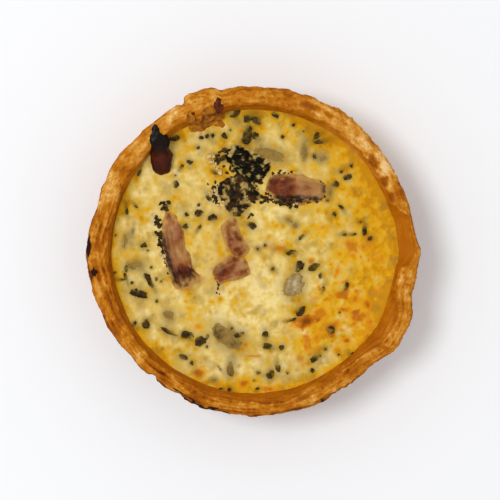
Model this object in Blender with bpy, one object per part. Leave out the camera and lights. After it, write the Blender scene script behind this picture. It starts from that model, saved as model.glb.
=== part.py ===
"""A small round quiche: a shortcrust shell with an uneven rim, the custard set inside it, and the
bacon and mushroom that stand out of the custard.

Metres, +Z up. The origin is the centre of the crust's flat underside, which rests on Z = 0.
"""

import math

import bmesh
import bpy
from mathutils import Matrix, Vector, noise

MM = 0.001

# The crust: a flat base, a wall that leans outwards, and a broken, uneven rim.
CRUST_HEIGHT = 30.5 * MM
BASE_RADIUS = 47.5 * MM
BASE_ROUNDING = 1.6 * MM
RIM_RADIUS = 59.2 * MM
LIP_RADIUS = 52.8 * MM
RIM_ROUNDING = 1.3 * MM
FLOOR_HEIGHT = 4.0 * MM
FLOOR_RADIUS = 44.5 * MM
CRUST_UNEVENNESS = 0.7 * MM
CRUST_UNEVENNESS_LENGTH = 9 * MM
# Where the unevenness along X, Y and Z is read from, so that the three differ.
UNEVENNESS_SHIFTS = (Vector((0, 0, 0)), Vector((31.4, 17.7, 5.2)), Vector((-12.9, 44.3, 23.6)))

# The custard: nearly level, and drawn up a little where it meets the crust.
CUSTARD_LEVEL = 23.2 * MM
CUSTARD_EDGE_RISE = 0.9 * MM
CUSTARD_WAVE_HEIGHT = 0.7 * MM
CUSTARD_WAVE_LENGTH = 13 * MM

GAP = 0.3 * MM  # clear space between pieces that touch
SIDE_GAP = 1.1 * GAP  # from the custard's side to the crust
SEAT_GAP = 1.2 * GAP  # from a piece to the seat that it lies in
SEGMENTS = 96
SHARP_ANGLE = math.radians(40)

# Where the rings of the two round pieces lie.
UNDERSIDE_SHARE = 0.55  # the first ring of the crust's underside, as a share of its radius
WALL_SHARES = (0.27, 0.52, 0.78)  # the way up the outer wall
TOP_SHARES = (0.97, 0.93, 0.86, 0.77, 0.67, 0.56, 0.44, 0.31, 0.17)  # of the custard's radius
EDGE_RISE_SHARE = 0.94  # where the custard starts to draw up towards the crust

# Where the rim leaves a true circle: the angle from +X, half its spread, how flat-topped the swell is,
# and how far it goes. Angles are in degrees.
RIM_SWELLS = (
    (331, 11, 4, 3.3 * MM),  # a fold of dough pushed outwards
    (0, 4, 2, 1.2 * MM),
    (25, 16, 2, -1.4 * MM),
    (62, 16, 2, 0.5 * MM),
    (108, 5, 4, 1.9 * MM),  # a torn tab
    (150, 7, 2, 0.5 * MM),
    (181, 8, 2, 1.1 * MM),
    (230, 22, 2, -1.0 * MM),
    (308, 8, 2, -0.8 * MM),
)
# Where the inside of the rim leans outwards, so that its top is thin and more of its inner face shows.
LIP_LEANS = (
    (5, 10, 6, 5.0 * MM),
    (329, 9, 4, 4.4 * MM),
    (270, 26, 2, 0.7 * MM),
    (148, 22, 2, -0.5 * MM),
)
# Where the rim stands higher or lower.
RIM_LIFTS = (
    (5, 12, 4, -0.9 * MM),
    (108, 7, 4, 0.8 * MM),
    (45, 20, 2, 0.4 * MM),
    (181, 10, 2, -0.6 * MM),
    (240, 25, 2, 0.3 * MM),
    (331, 12, 2, -0.4 * MM),
)

# The pieces that stand out of the custard. `at` is the middle in plan, `rise` is how far the middle of
# the top stands above the custard, `turn` is the direction of its length from +X in degrees, `bend` is
# how far its ends curve to one side, `taper` widens the far end, and `pitch` raises the far end.
PIECES = {
    "bacon_long": dict(
        at=(-30.2, -0.6), length=28, width=7.4, thickness=4.6, rise=1.2,
        turn=-71, bend=1.6, taper=0.32, pitch=0, colour=(0.33, 0.16, 0.09),
    ),
    "bacon_thick": dict(
        at=(16.0, 22.8), length=21.6, width=9.8, thickness=5.2, rise=1.3,
        turn=-3, bend=-0.6, taper=-0.12, pitch=0, colour=(0.35, 0.14, 0.07),
    ),
    "bacon_curl": dict(
        at=(-8.2, 4.4), length=10.4, width=6.6, thickness=4.2, rise=0.9,
        turn=-68, bend=1.0, taper=0.1, pitch=0, colour=(0.33, 0.14, 0.07),
    ),
    "bacon_nub": dict(
        at=(-8.6, -6.6), length=10.4, width=8.2, thickness=4.2, rise=1.1,
        turn=24, bend=-0.5, taper=0.15, pitch=0, colour=(0.33, 0.13, 0.05),
    ),
    "bacon_charred": dict(
        at=(-33.8, 37.0), length=17.0, width=7.2, thickness=4.2, rise=4.6,
        turn=101, bend=0.5, taper=-0.12, pitch=21, colour=(0.05, 0.02, 0.01),
    ),
    "mushroom_cap": dict(
        at=(-5.4, 21.4), length=10.6, width=9.6, thickness=4.6, rise=1.3,
        turn=30, bend=0.0, taper=0.0, pitch=0, colour=(0.12, 0.08, 0.03),
    ),
    "mushroom_charred": dict(
        at=(-2.4, 30.6), length=13.8, width=6.0, thickness=3.6, rise=1.0,
        turn=-24, bend=0.8, taper=0.1, pitch=0, colour=(0.03, 0.02, 0.01),
    ),
    "mushroom_slice": dict(
        at=(-9.6, -31.4), length=13.0, width=6.4, thickness=3.2, rise=0.45,
        turn=-38, bend=0.8, taper=0.1, pitch=0, colour=(0.30, 0.22, 0.12),
    ),
    "mushroom_sliver": dict(
        at=(6.6, 35.8), length=12.4, width=4.0, thickness=2.8, rise=0.45,
        turn=-18, bend=-0.8, taper=0.1, pitch=0, colour=(0.33, 0.20, 0.09),
    ),
    "mushroom_stalk": dict(
        at=(15.0, -12.8), length=8.6, width=6.0, thickness=3.0, rise=0.5,
        turn=75, bend=0.3, taper=-0.1, pitch=0, colour=(0.50, 0.38, 0.28),
    ),
}
PIECE_CUTS = 3  # subdivisions along each edge of the cube that a piece starts as
PIECE_ROUNDNESS = 0.62  # 0 keeps the cube's corners, 1 makes an ellipsoid
PIECE_FULLNESS = 1.18  # that ellipsoid's radius, as a share of the cube's half side
PIECE_WOBBLE = 0.09  # unevenness, as a share of the size
PIECE_WOBBLE_LENGTH = 5 * MM

CRUST_COLOUR = (0.55, 0.27, 0.07)
CUSTARD_COLOUR = (0.72, 0.50, 0.14)


def swell(bumps, angle):
    """The sum of flat-topped bumps at this angle, in radians."""
    total = 0.0
    for centre, spread, flatness, height in bumps:
        away = (math.degrees(angle) - centre + 180) % 360 - 180
        total += height * math.exp(-(abs(away / spread) ** flatness))
    return total


def inner_radius(height):
    """The inner wall's radius before any lean: a straight slope from the floor to the lip."""
    share = (height - FLOOR_HEIGHT) / (CRUST_HEIGHT - RIM_ROUNDING - FLOOR_HEIGHT)
    return FLOOR_RADIUS + share * (LIP_RADIUS - FLOOR_RADIUS)


def unevenness(point):
    """How far hand-pressed dough strays at this point, along each axis."""
    place = point / CRUST_UNEVENNESS_LENGTH
    return CRUST_UNEVENNESS * Vector([noise.noise(place + shift) for shift in UNEVENNESS_SHIFTS])


def crust_point(radius, height, inside, angle):
    """A point of the crust. `inside` is 0 on the outer face, 1 on the inner face, between on the rim."""
    rise = max(0.0, height / CRUST_HEIGHT)
    above_custard = max(0.0, (height - CUSTARD_LEVEL) / (CRUST_HEIGHT - CUSTARD_LEVEL))
    radius += (1 - inside) * swell(RIM_SWELLS, angle) * rise**2
    radius += inside * swell(LIP_LEANS, angle) * above_custard
    height += swell(RIM_LIFTS, angle) * rise**4
    point = Vector((radius * math.cos(angle), radius * math.sin(angle), height))
    # The dough is uneven where it shows, and true where the custard and the table touch it.
    shows = math.sqrt(above_custard if inside else rise)
    return point + unevenness(point) * shows


def add_ring(bm, place):
    """A closed ring of vertices at place(angle), and its edges."""
    made = bmesh.ops.create_circle(bm, cap_ends=False, segments=SEGMENTS, radius=1)["verts"]
    for index, vert in enumerate(made):
        vert.co = place(index * math.tau / SEGMENTS)
    return list({edge for vert in made for edge in vert.link_edges})


def bridge_rings(bm, places):
    """Rings joined one to the next, with a fan of triangles closing the first and the last."""
    rings = [add_ring(bm, place) for place in places]
    for lower, upper in zip(rings, rings[1:]):
        bmesh.ops.bridge_loops(bm, edges=lower + upper)
    for end in (rings[0], rings[-1]):
        cap = bmesh.ops.contextual_create(bm, geom=end)["faces"]
        bmesh.ops.poke(bm, faces=cap)
    bmesh.ops.recalc_face_normals(bm, faces=bm.faces)


def material(name, colour, roughness):
    made = bpy.data.materials.new(name)
    made.use_nodes = True
    shader = made.node_tree.nodes["Principled BSDF"]
    shader.inputs["Base Color"].default_value = (*colour, 1)
    shader.inputs["Roughness"].default_value = roughness
    shader.inputs["Metallic"].default_value = 0
    return made


def add_object(name, bm, finish, collection=None):
    mesh = bpy.data.meshes.new(name)
    bm.to_mesh(mesh)
    bm.free()
    mesh.materials.append(finish)
    mesh.shade_smooth()
    mesh.set_sharp_from_angle(angle=SHARP_ANGLE)
    made = bpy.data.objects.new(name, mesh)
    (collection or bpy.context.scene.collection).objects.link(made)
    return made


def crust_profile():
    """The crust's section, from the middle of the base up the outside, over the rim and down to the
    floor, as (radius, height, inside)."""
    wall_foot = BASE_ROUNDING
    shoulder = CRUST_HEIGHT - 2 * RIM_ROUNDING
    section = [
        (BASE_RADIUS * UNDERSIDE_SHARE, 0.0, 0.0),
        (BASE_RADIUS - BASE_ROUNDING, 0.0, 0.0),
        (BASE_RADIUS, wall_foot, 0.0),
    ]
    for share in WALL_SHARES:
        height = wall_foot + share * (shoulder - wall_foot)
        section.append((BASE_RADIUS + share * (RIM_RADIUS - BASE_RADIUS), height, 0.0))
    section += [
        (RIM_RADIUS, shoulder, 0.0),
        (RIM_RADIUS - 0.7 * RIM_ROUNDING, CRUST_HEIGHT - 0.4 * RIM_ROUNDING, 0.0),
        ((RIM_RADIUS + LIP_RADIUS) / 2, CRUST_HEIGHT, 0.5),
        (LIP_RADIUS + 0.7 * RIM_ROUNDING, CRUST_HEIGHT - 0.3 * RIM_ROUNDING, 1.0),
        (LIP_RADIUS, CRUST_HEIGHT - RIM_ROUNDING, 1.0),
    ]
    return section + [(inner_radius(height), height, 1.0) for height in inner_heights()]


def inner_heights():
    """The inner wall's rings below the lip, down to the floor: the custard's side has the same ones."""
    edge = CUSTARD_LEVEL + CUSTARD_EDGE_RISE
    return [edge, (edge + FLOOR_HEIGHT) / 2, FLOOR_HEIGHT]


def make_crust():
    bm = bmesh.new()
    places = [
        lambda angle, ring=ring: crust_point(*ring, angle) for ring in crust_profile()
    ]
    bridge_rings(bm, places)
    return add_object("crust", bm, material("baked_pastry", CRUST_COLOUR, 0.75))


def custard_height(point):
    """The custard's level at a point in plan, with its slow waves."""
    wave = noise.noise(Vector((point.x, point.y, 0)) / CUSTARD_WAVE_LENGTH)
    return CUSTARD_LEVEL + CUSTARD_WAVE_HEIGHT * wave


def make_custard():
    """The side follows the crust's inner wall a gap away, and the top is rings from the edge inwards."""
    bm = bmesh.new()
    edge, middle, floor = inner_heights()

    def side(height, lift):
        def place(angle):
            point = crust_point(inner_radius(height) - SIDE_GAP, height, 1.0, angle)
            return point + Vector((0, 0, lift))

        return place

    def top(share):
        rim = side(edge, 0)

        def place(angle):
            point = rim(angle) * share
            near_edge = max(0.0, (share - EDGE_RISE_SHARE) / (1 - EDGE_RISE_SHARE))
            edge_rise = CUSTARD_EDGE_RISE * near_edge
            return Vector((point.x, point.y, custard_height(point) + edge_rise))

        return place

    places = [side(floor, GAP), side(middle, 0), side(edge, 0)]
    places += [top(share) for share in TOP_SHARES]
    bridge_rings(bm, places)
    return add_object("custard", bm, material("set_custard", CUSTARD_COLOUR, 0.45))


def shape_piece(bm, spec, grow=0.0):
    """A rounded block, tapered, bent and a little uneven, in its own place. `grow` inflates it."""
    bmesh.ops.create_cube(bm, size=2)
    bmesh.ops.subdivide_edges(bm, edges=bm.edges, cuts=PIECE_CUTS, use_grid_fill=True)
    half = Vector((spec["length"], spec["width"], spec["thickness"])) * MM / 2
    for vert in bm.verts:
        cube = vert.co.copy()
        ball = cube.normalized() * PIECE_FULLNESS
        block = cube.lerp(ball, PIECE_ROUNDNESS)
        along = block.x
        vert.co = Vector(
            (
                along * half.x,
                block.y * half.y * (1 + spec["taper"] * along) + spec["bend"] * MM * along**2,
                block.z * half.z,
            )
        )
    seat = Vector((*spec["at"], 0)) * MM
    seat.z = CUSTARD_LEVEL + spec["rise"] * MM - half.z
    turn = Matrix.Rotation(math.radians(spec["turn"]), 4, "Z")
    pitch = Matrix.Rotation(math.radians(-spec["pitch"]), 4, "Y")
    bmesh.ops.transform(bm, matrix=Matrix.Translation(seat) @ turn @ pitch, verts=bm.verts)
    bm.normal_update()
    wobble = PIECE_WOBBLE * spec["thickness"] * MM
    for vert in bm.verts:
        vert.co += vert.normal * wobble * noise.noise(vert.co / PIECE_WOBBLE_LENGTH)
    bm.normal_update()
    for vert in bm.verts:
        vert.co += vert.normal * grow


def make_piece(name, spec):
    bm = bmesh.new()
    shape_piece(bm, spec)
    return add_object(name, bm, material(name + "_finish", spec["colour"], 0.5))


def cut_seats(host, pieces):
    """Cuts the pieces' seats out of their host, each a gap larger than its piece."""
    cutters = bpy.data.collections.new(f"{host.name}_seats")
    bpy.context.scene.collection.children.link(cutters)
    for name, spec in pieces.items():
        bm = bmesh.new()
        shape_piece(bm, spec, grow=SEAT_GAP)
        cutter = add_object(f"{name}_seat_in_{host.name}", bm, host.data.materials[0], cutters)
        cutter.hide_render = True
        cutter.display_type = "WIRE"
    cut = host.modifiers.new(cutters.name, "BOOLEAN")
    cut.operation = "DIFFERENCE"
    cut.operand_type = "COLLECTION"
    cut.collection = cutters


def main():
    for old in list(bpy.data.objects):
        bpy.data.objects.remove(old)
    crust = make_crust()
    custard = make_custard()
    for name, spec in PIECES.items():
        make_piece(name, spec)
    cut_seats(custard, PIECES)
    cut_seats(crust, {"bacon_charred": PIECES["bacon_charred"]})


main()
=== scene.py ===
"""The looks of a small round quiche: its baked shell, the set custard, the bacon and mushroom that stand
out of it, and the chopped herbs. Metres, +Z up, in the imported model's own frame."""

import math
import random

import bpy
import numpy as np
from mathutils import Euler, Matrix, Vector, noise


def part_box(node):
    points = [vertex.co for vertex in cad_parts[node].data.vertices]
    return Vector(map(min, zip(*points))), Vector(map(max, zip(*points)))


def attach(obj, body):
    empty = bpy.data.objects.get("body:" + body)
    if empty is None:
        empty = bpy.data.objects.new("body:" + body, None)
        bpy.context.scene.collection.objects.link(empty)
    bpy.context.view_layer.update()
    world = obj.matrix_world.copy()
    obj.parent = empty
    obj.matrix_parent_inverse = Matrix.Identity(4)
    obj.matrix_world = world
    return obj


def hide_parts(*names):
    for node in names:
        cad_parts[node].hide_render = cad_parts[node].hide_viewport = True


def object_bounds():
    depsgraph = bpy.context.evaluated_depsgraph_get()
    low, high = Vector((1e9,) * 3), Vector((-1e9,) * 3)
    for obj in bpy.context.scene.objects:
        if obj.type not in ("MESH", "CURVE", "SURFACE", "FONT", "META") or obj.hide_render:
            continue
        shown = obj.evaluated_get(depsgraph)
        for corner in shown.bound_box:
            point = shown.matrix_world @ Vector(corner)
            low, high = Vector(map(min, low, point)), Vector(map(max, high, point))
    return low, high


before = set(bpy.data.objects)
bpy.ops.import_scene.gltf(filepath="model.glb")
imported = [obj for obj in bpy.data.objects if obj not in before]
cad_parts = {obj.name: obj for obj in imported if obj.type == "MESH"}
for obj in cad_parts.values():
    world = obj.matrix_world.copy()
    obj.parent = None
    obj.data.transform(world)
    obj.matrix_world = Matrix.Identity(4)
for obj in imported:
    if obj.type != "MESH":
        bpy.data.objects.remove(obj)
MODEL_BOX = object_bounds()
MM = 0.001

# ------------------------------------------------------------------------------------------------
# Sizes that the crust and the custard are made to, as their solids are.
CRUST_HEIGHT = 30.5 * MM
RIM_RADIUS = 59.2 * MM
LIP_RADIUS = 52.8 * MM
FLOOR_HEIGHT = 4.0 * MM
FLOOR_RADIUS = 44.5 * MM
RIM_ROUNDING = 1.3 * MM
CUSTARD_LEVEL = 23.2 * MM
CUSTARD_WAVE_HEIGHT = 0.7 * MM
CUSTARD_WAVE_LENGTH = 13 * MM
UNEVENNESS = 0.7 * MM
UNEVENNESS_LENGTH = 9 * MM
UNEVENNESS_SHIFTS = np.array([(0, 0, 0), (31.4, 17.7, 5.2), (-12.9, 44.3, 23.6)])

# Swells round the rim: the angle from +X and half the spread, in degrees, how flat-topped, how far.
RIM_SWELLS = (
    (331, 11, 4, 3.3 * MM),
    (0, 4, 2, 1.2 * MM),
    (25, 16, 2, -1.4 * MM),
    (62, 16, 2, 0.5 * MM),
    (109, 6.3, 8, 2.4 * MM),
    (150, 7, 2, 0.5 * MM),
    (181, 8, 2, 1.1 * MM),
    (230, 22, 2, -1.0 * MM),
    (308, 8, 2, -0.8 * MM),
)
LIP_LEANS = (
    (5, 10, 6, 5.0 * MM),
    (329, 11, 2, 3.4 * MM),
    (270, 26, 2, 0.7 * MM),
    (148, 22, 2, -0.5 * MM),
)
RIM_LIFTS = (
    (5, 12, 4, -0.9 * MM),
    (108, 7, 4, 0.8 * MM),
    (45, 20, 2, 0.4 * MM),
    (181, 10, 2, -0.6 * MM),
    (240, 25, 2, 0.3 * MM),
    (331, 12, 2, -0.4 * MM),
)


# ------------------------------------------------------------------------------------------------
# Working with meshes.
def deselect():
    bpy.ops.object.select_all(action="DESELECT")


def edit(piece):
    """Opens a piece in edit mode, alone."""
    deselect()
    piece.select_set(True)
    bpy.context.view_layer.objects.active = piece
    bpy.ops.object.mode_set(mode="EDIT")


def leave_edit():
    bpy.ops.object.mode_set(mode="OBJECT")


def apply_modifiers(piece):
    deselect()
    piece.select_set(True)
    bpy.context.view_layer.objects.active = piece
    for modifier in list(piece.modifiers):
        bpy.ops.object.modifier_apply(modifier=modifier.name)


def subdivide_smoothly(piece, levels):
    rounding = piece.modifiers.new("rounding", "SUBSURF")
    rounding.levels = levels
    rounding.render_levels = levels
    apply_modifiers(piece)


def points_of(piece):
    flat = np.empty(len(piece.data.vertices) * 3, np.float32)
    piece.data.vertices.foreach_get("co", flat)
    return flat.reshape(-1, 3).astype(float)


def normals_of(piece):
    flat = np.empty(len(piece.data.vertices) * 3, np.float32)
    piece.data.vertex_normals.foreach_get("vector", flat)
    return flat.reshape(-1, 3).astype(float)


def move_points(piece, points):
    piece.data.vertices.foreach_set("co", points.astype(np.float32).ravel())
    piece.data.update()


def paint(piece, name, values):
    """A mask over the surface, which the piece's material reads by this name."""
    mask = piece.data.attributes.new(name, "FLOAT", "POINT")
    mask.data.foreach_set("value", np.clip(values, 0, 1).astype(np.float32))


def clouds(points, length, seed=0.0, octaves=1):
    """Smooth random swells, from about -1 to 1, about `length` across."""
    scaled = (points / length + seed * 17.3).tolist()
    if octaves == 1:
        return np.array([noise.noise(p) for p in scaled])
    return np.array([noise.fractal(p, 0.8, 2.1, octaves) for p in scaled])


def cells(points, length, seed=0.0):
    """How near each point is to the nearest seed of a cell pattern, in cell lengths."""
    scaled = (points / length + seed * 11.7).tolist()
    return np.array([noise.voronoi(p)[0][0] for p in scaled])


def step(low, high, values):
    """0 below low, 1 above high, and smooth between."""
    share = np.clip((values - low) / (high - low), 0, 1)
    return share * share * (3 - 2 * share)


def swell(bumps, degrees):
    """The sum of flat-topped bumps round the rim."""
    total = np.zeros_like(degrees)
    for centre, spread, flatness, height in bumps:
        away = (degrees - centre + 180) % 360 - 180
        total += height * np.exp(-(np.abs(away / spread) ** flatness))
    return total


def spots(x, y, places, soft=2.0, ragged=None):
    """The strongest of some soft ovals: each (x, y, length, width, turn, amount), in mm and degrees."""
    total = np.zeros_like(x)
    for at_x, at_y, length, width, turn, amount in places:
        away_x = x / MM - at_x
        away_y = y / MM - at_y
        c, s = math.cos(math.radians(turn)), math.sin(math.radians(turn))
        along = (away_x * c + away_y * s) / (length / 2)
        aside = (away_y * c - away_x * s) / (width / 2)
        reach = np.hypot(along, aside)
        if ragged is not None:
            reach = reach * (1 + ragged)
        total = np.maximum(total, amount * np.exp(-(reach**soft)))
    return total


# ------------------------------------------------------------------------------------------------
# Colours and materials.
def srgb(code):
    """A colour written as six hex digits, turned to linear."""
    parts = [int(code[i : i + 2], 16) / 255 for i in (0, 2, 4)]
    return tuple(p / 12.92 if p <= 0.04045 else ((p + 0.055) / 1.055) ** 2.4 for p in parts)


def new_material(name, roughness=0.5, gleam=0.2):
    made = bpy.data.materials.new(name)
    made.use_nodes = True
    shader = made.node_tree.nodes["Principled BSDF"]
    shader.inputs["Roughness"].default_value = roughness
    shader.inputs["Specular IOR Level"].default_value = gleam
    return made, made.node_tree, shader


def add_node(tree, kind, x=0, y=0, **values):
    made = tree.nodes.new(kind)
    made.location = (x, y)
    for key, value in values.items():
        setattr(made, key, value)
    return made


def mask_node(tree, name):
    return add_node(tree, "ShaderNodeAttribute", attribute_name=name).outputs["Fac"]


def arithmetic(tree, operation, first, second, clamp=False):
    made = add_node(tree, "ShaderNodeMath", operation=operation, use_clamp=clamp)
    for socket, value in zip(made.inputs, (first, second)):
        if isinstance(value, (int, float)):
            socket.default_value = value
        else:
            tree.links.new(value, socket)
    return made.outputs[0]


def mix_colour(tree, share, first, second, blend="MIX"):
    made = add_node(tree, "ShaderNodeMix", data_type="RGBA", blend_type=blend)
    for socket, value in zip((made.inputs[0], made.inputs[6], made.inputs[7]), (share, first, second)):
        if isinstance(value, (int, float)):
            socket.default_value = value
        elif isinstance(value, tuple):
            socket.default_value = (*value, 1)
        else:
            tree.links.new(value, socket)
    return made.outputs[2]


def ramp(tree, value, stops):
    """Colours along a value: each stop is (place, hex colour)."""
    made = add_node(tree, "ShaderNodeValToRGB")
    colours = made.color_ramp.elements
    while len(colours) < len(stops):
        colours.new(0.5)
    for element, (place, code) in zip(colours, stops):
        element.position = place
        element.color = (*srgb(code), 1)
    tree.links.new(value, made.inputs[0])
    return made.outputs[0]


def between(tree, value, low, high, out_low=0.0, out_high=1.0):
    """A value stretched from low..high to out_low..out_high, and held there."""
    made = add_node(tree, "ShaderNodeMapRange")
    tree.links.new(value, made.inputs["Value"])
    made.inputs["From Min"].default_value = low
    made.inputs["From Max"].default_value = high
    made.inputs["To Min"].default_value = out_low
    made.inputs["To Max"].default_value = out_high
    return made.outputs[0]


def group_socket(group, name, in_out, kind, default=None):
    made = group.interface.new_socket(name=name, in_out=in_out, socket_type=kind)
    if default is not None:
        made.default_value = default


def noise_in(tree, vector, size, detail=2.0, roughness=0.5, distortion=0.0):
    """A noise texture whose features are about `size` metres across."""
    made = add_node(tree, "ShaderNodeTexNoise")
    made.inputs["Scale"].default_value = 1 / size
    made.inputs["Detail"].default_value = detail
    made.inputs["Roughness"].default_value = roughness
    made.inputs["Distortion"].default_value = distortion
    tree.links.new(vector, made.inputs["Vector"])
    return made.outputs["Fac"]


def make_mottle_group():
    """Uneven baking: slow blotches, small blotches and specks of a value around zero."""
    group = bpy.data.node_groups.new("uneven_baking", "ShaderNodeTree")
    group_socket(group, "Blotches", "INPUT", "NodeSocketFloat", 0.3)
    group_socket(group, "Specks", "INPUT", "NodeSocketFloat", 0.1)
    group_socket(group, "Size", "INPUT", "NodeSocketFloat", 1.0)
    group_socket(group, "Value", "OUTPUT", "NodeSocketFloat")
    come_in = add_node(group, "NodeGroupInput")
    go_out = add_node(group, "NodeGroupOutput")
    place = add_node(group, "ShaderNodeTexCoord").outputs["Object"]
    scaled = add_node(group, "ShaderNodeVectorMath", operation="DIVIDE")
    group.links.new(place, scaled.inputs[0])
    group.links.new(come_in.outputs["Size"], scaled.inputs[1])
    blotch = noise_in(group, scaled.outputs[0], 4.0 * MM, 3.0, 0.55)
    speck = noise_in(group, scaled.outputs[0], 0.8 * MM, 2.0, 0.6)
    blotch = arithmetic(group, "SUBTRACT", blotch, 0.5)
    blotch = arithmetic(group, "MULTIPLY", blotch, come_in.outputs["Blotches"])
    speck = arithmetic(group, "SUBTRACT", speck, 0.5)
    speck = arithmetic(group, "MULTIPLY", speck, come_in.outputs["Specks"])
    group.links.new(arithmetic(group, "ADD", blotch, speck), go_out.inputs["Value"])
    return group


def make_gloss_group():
    """Soft, patchy gloss for moist food: a roughness between two values, and a faint surface normal."""
    group = bpy.data.node_groups.new("moist_gloss", "ShaderNodeTree")
    group_socket(group, "Driest", "INPUT", "NodeSocketFloat", 0.6)
    group_socket(group, "Wettest", "INPUT", "NodeSocketFloat", 0.3)
    group_socket(group, "Patch Size", "INPUT", "NodeSocketFloat", 3.0)
    group_socket(group, "Relief", "INPUT", "NodeSocketFloat", 0.1)
    group_socket(group, "Roughness", "OUTPUT", "NodeSocketFloat")
    group_socket(group, "Height", "OUTPUT", "NodeSocketFloat")
    come_in = add_node(group, "NodeGroupInput")
    go_out = add_node(group, "NodeGroupOutput")
    place = add_node(group, "ShaderNodeTexCoord").outputs["Object"]
    scaled = add_node(group, "ShaderNodeVectorMath", operation="DIVIDE")
    group.links.new(place, scaled.inputs[0])
    group.links.new(come_in.outputs["Patch Size"], scaled.inputs[1])
    patches = noise_in(group, scaled.outputs[0], 1.0 * MM, 2.0, 0.5)
    made = add_node(group, "ShaderNodeMapRange")
    group.links.new(patches, made.inputs["Value"])
    made.inputs["From Min"].default_value = 0.35
    made.inputs["From Max"].default_value = 0.65
    group.links.new(come_in.outputs["Driest"], made.inputs["To Min"])
    group.links.new(come_in.outputs["Wettest"], made.inputs["To Max"])
    group.links.new(made.outputs[0], go_out.inputs["Roughness"])
    fine = noise_in(group, place, 0.9 * MM, 2.0, 0.5)
    group.links.new(arithmetic(group, "MULTIPLY", fine, come_in.outputs["Relief"]), go_out.inputs["Height"])
    return group


def use_group(tree, group, **values):
    made = add_node(tree, "ShaderNodeGroup")
    made.node_tree = group
    for name, value in values.items():
        made.inputs[name.replace("_", " ")].default_value = value
    return made


def add_bump(tree, shader, height, distance, strength=1.0):
    bump = add_node(tree, "ShaderNodeBump")
    bump.inputs["Distance"].default_value = distance
    bump.inputs["Strength"].default_value = strength
    tree.links.new(height, bump.inputs["Height"])
    tree.links.new(bump.outputs["Normal"], shader.inputs["Normal"])


def pastry_material(mottle):
    made, tree, shader = new_material("baked_pastry", 0.7, 0.1)
    value = use_group(tree, mottle, Blotches=0.5, Specks=0.26).outputs[0]
    toast = arithmetic(tree, "ADD", mask_node(tree, "toast"), value, clamp=True)
    colour = ramp(
        tree, toast,
        ((0.0, "ecc88a"), (0.18, "da9c40"), (0.4, "be7410"),
         (0.6, "a45a02"), (0.8, "823c00"), (1.0, "4a1800")),
    )
    butter = mask_node(tree, "butter")
    colour = mix_colour(tree, arithmetic(tree, "MULTIPLY", butter, 0.75), colour, srgb("ba6a06"))
    # Dark brown mixed in from the mask of burnt crust and painted shade: burnt spots on the rim, and painted
    # shade on the outer wall where it faces down.
    burnt_and_shade = arithmetic(tree, "ADD", mask_node(tree, "burnt_and_shade"), arithmetic(tree, "MULTIPLY", value, 1.2))
    burnt_and_shade = arithmetic(tree, "MULTIPLY", between(tree, burnt_and_shade, 0.3, 0.75), mask_node(tree, "burnt_and_shade"))
    colour = mix_colour(tree, between(tree, burnt_and_shade, 0.0, 0.6), colour, srgb("2c1006"))
    tree.links.new(colour, shader.inputs["Base Color"])
    tree.links.new(between(tree, butter, 0.0, 1.0, 0.72, 0.34), shader.inputs["Roughness"])
    place = add_node(tree, "ShaderNodeTexCoord").outputs["Object"]
    grain = noise_in(tree, place, 0.6 * MM, 3.0, 0.6)
    add_bump(tree, shader, grain, 0.12 * MM, 0.6)
    shader.inputs["Subsurface Weight"].default_value = 0.05
    shader.inputs["Subsurface Scale"].default_value = 1 * MM
    return made


def custard_material(mottle, gloss):
    made, tree, shader = new_material("set_custard", 0.42, 0.09)
    value = use_group(tree, mottle, Blotches=0.22, Specks=0.1, Size=0.8).outputs[0]
    tone = arithmetic(tree, "ADD", mask_node(tree, "tone"), value, clamp=True)
    colour = ramp(
        tree, tone,
        ((0.0, "f0d690"), (0.2, "e6c870"), (0.44, "dab75c"),
         (0.64, "dcac28"), (0.82, "dca004"), (1.0, "c88a00")),
    )
    uneven = arithmetic(tree, "MULTIPLY", value, 0.9)
    browned = arithmetic(tree, "ADD", mask_node(tree, "browned"), uneven, clamp=True)
    browned = arithmetic(tree, "MULTIPLY", browned, between(tree, mask_node(tree, "browned"), 0.02, 0.2))
    brown = ramp(tree, browned, ((0.15, "e8a410"), (0.42, "d88a08"), (0.7, "b46404"), (1.0, "7c3c02")))
    colour = mix_colour(tree, between(tree, browned, 0.12, 0.5), colour, brown)
    colour = mix_colour(tree, mask_node(tree, "grey"), colour, srgb("6e5630"))
    colour = mix_colour(tree, mask_node(tree, "herb"), colour, srgb("543e0e"))
    colour = mix_colour(tree, mask_node(tree, "meat"), colour, srgb("9c4c14"))
    tree.links.new(colour, shader.inputs["Base Color"])
    shine = use_group(tree, gloss, Driest=0.62, Wettest=0.4, Patch_Size=3.0, Relief=1.0)
    tree.links.new(shine.outputs["Roughness"], shader.inputs["Roughness"])
    add_bump(tree, shader, shine.outputs["Height"], 0.05 * MM, 0.5)
    shader.inputs["Subsurface Weight"].default_value = 0.15
    shader.inputs["Subsurface Scale"].default_value = 1.5 * MM
    shader.inputs["Subsurface Radius"].default_value = (1.0, 0.7, 0.25)
    return made


def veiled(tree, colour, thin="d9bc74"):
    """The colour, with the film of custard that clings to a piece near the custard's surface."""
    return mix_colour(tree, mask_node(tree, "veil"), colour, srgb(thin))


def fibre_value(tree, size_along, size_across, detail=3.0):
    """Streaks that run along a strip, read from its own 'along' and 'across' masks."""
    join = add_node(tree, "ShaderNodeCombineXYZ")
    along = arithmetic(tree, "DIVIDE", mask_node(tree, "along"), size_along)
    across = arithmetic(tree, "DIVIDE", mask_node(tree, "across"), size_across)
    tree.links.new(along, join.inputs[0])
    tree.links.new(across, join.inputs[1])
    streaks = add_node(tree, "ShaderNodeTexNoise")
    streaks.inputs["Scale"].default_value = 1.0
    streaks.inputs["Detail"].default_value = detail
    tree.links.new(join.outputs[0], streaks.inputs["Vector"])
    return streaks.outputs["Fac"]


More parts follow.
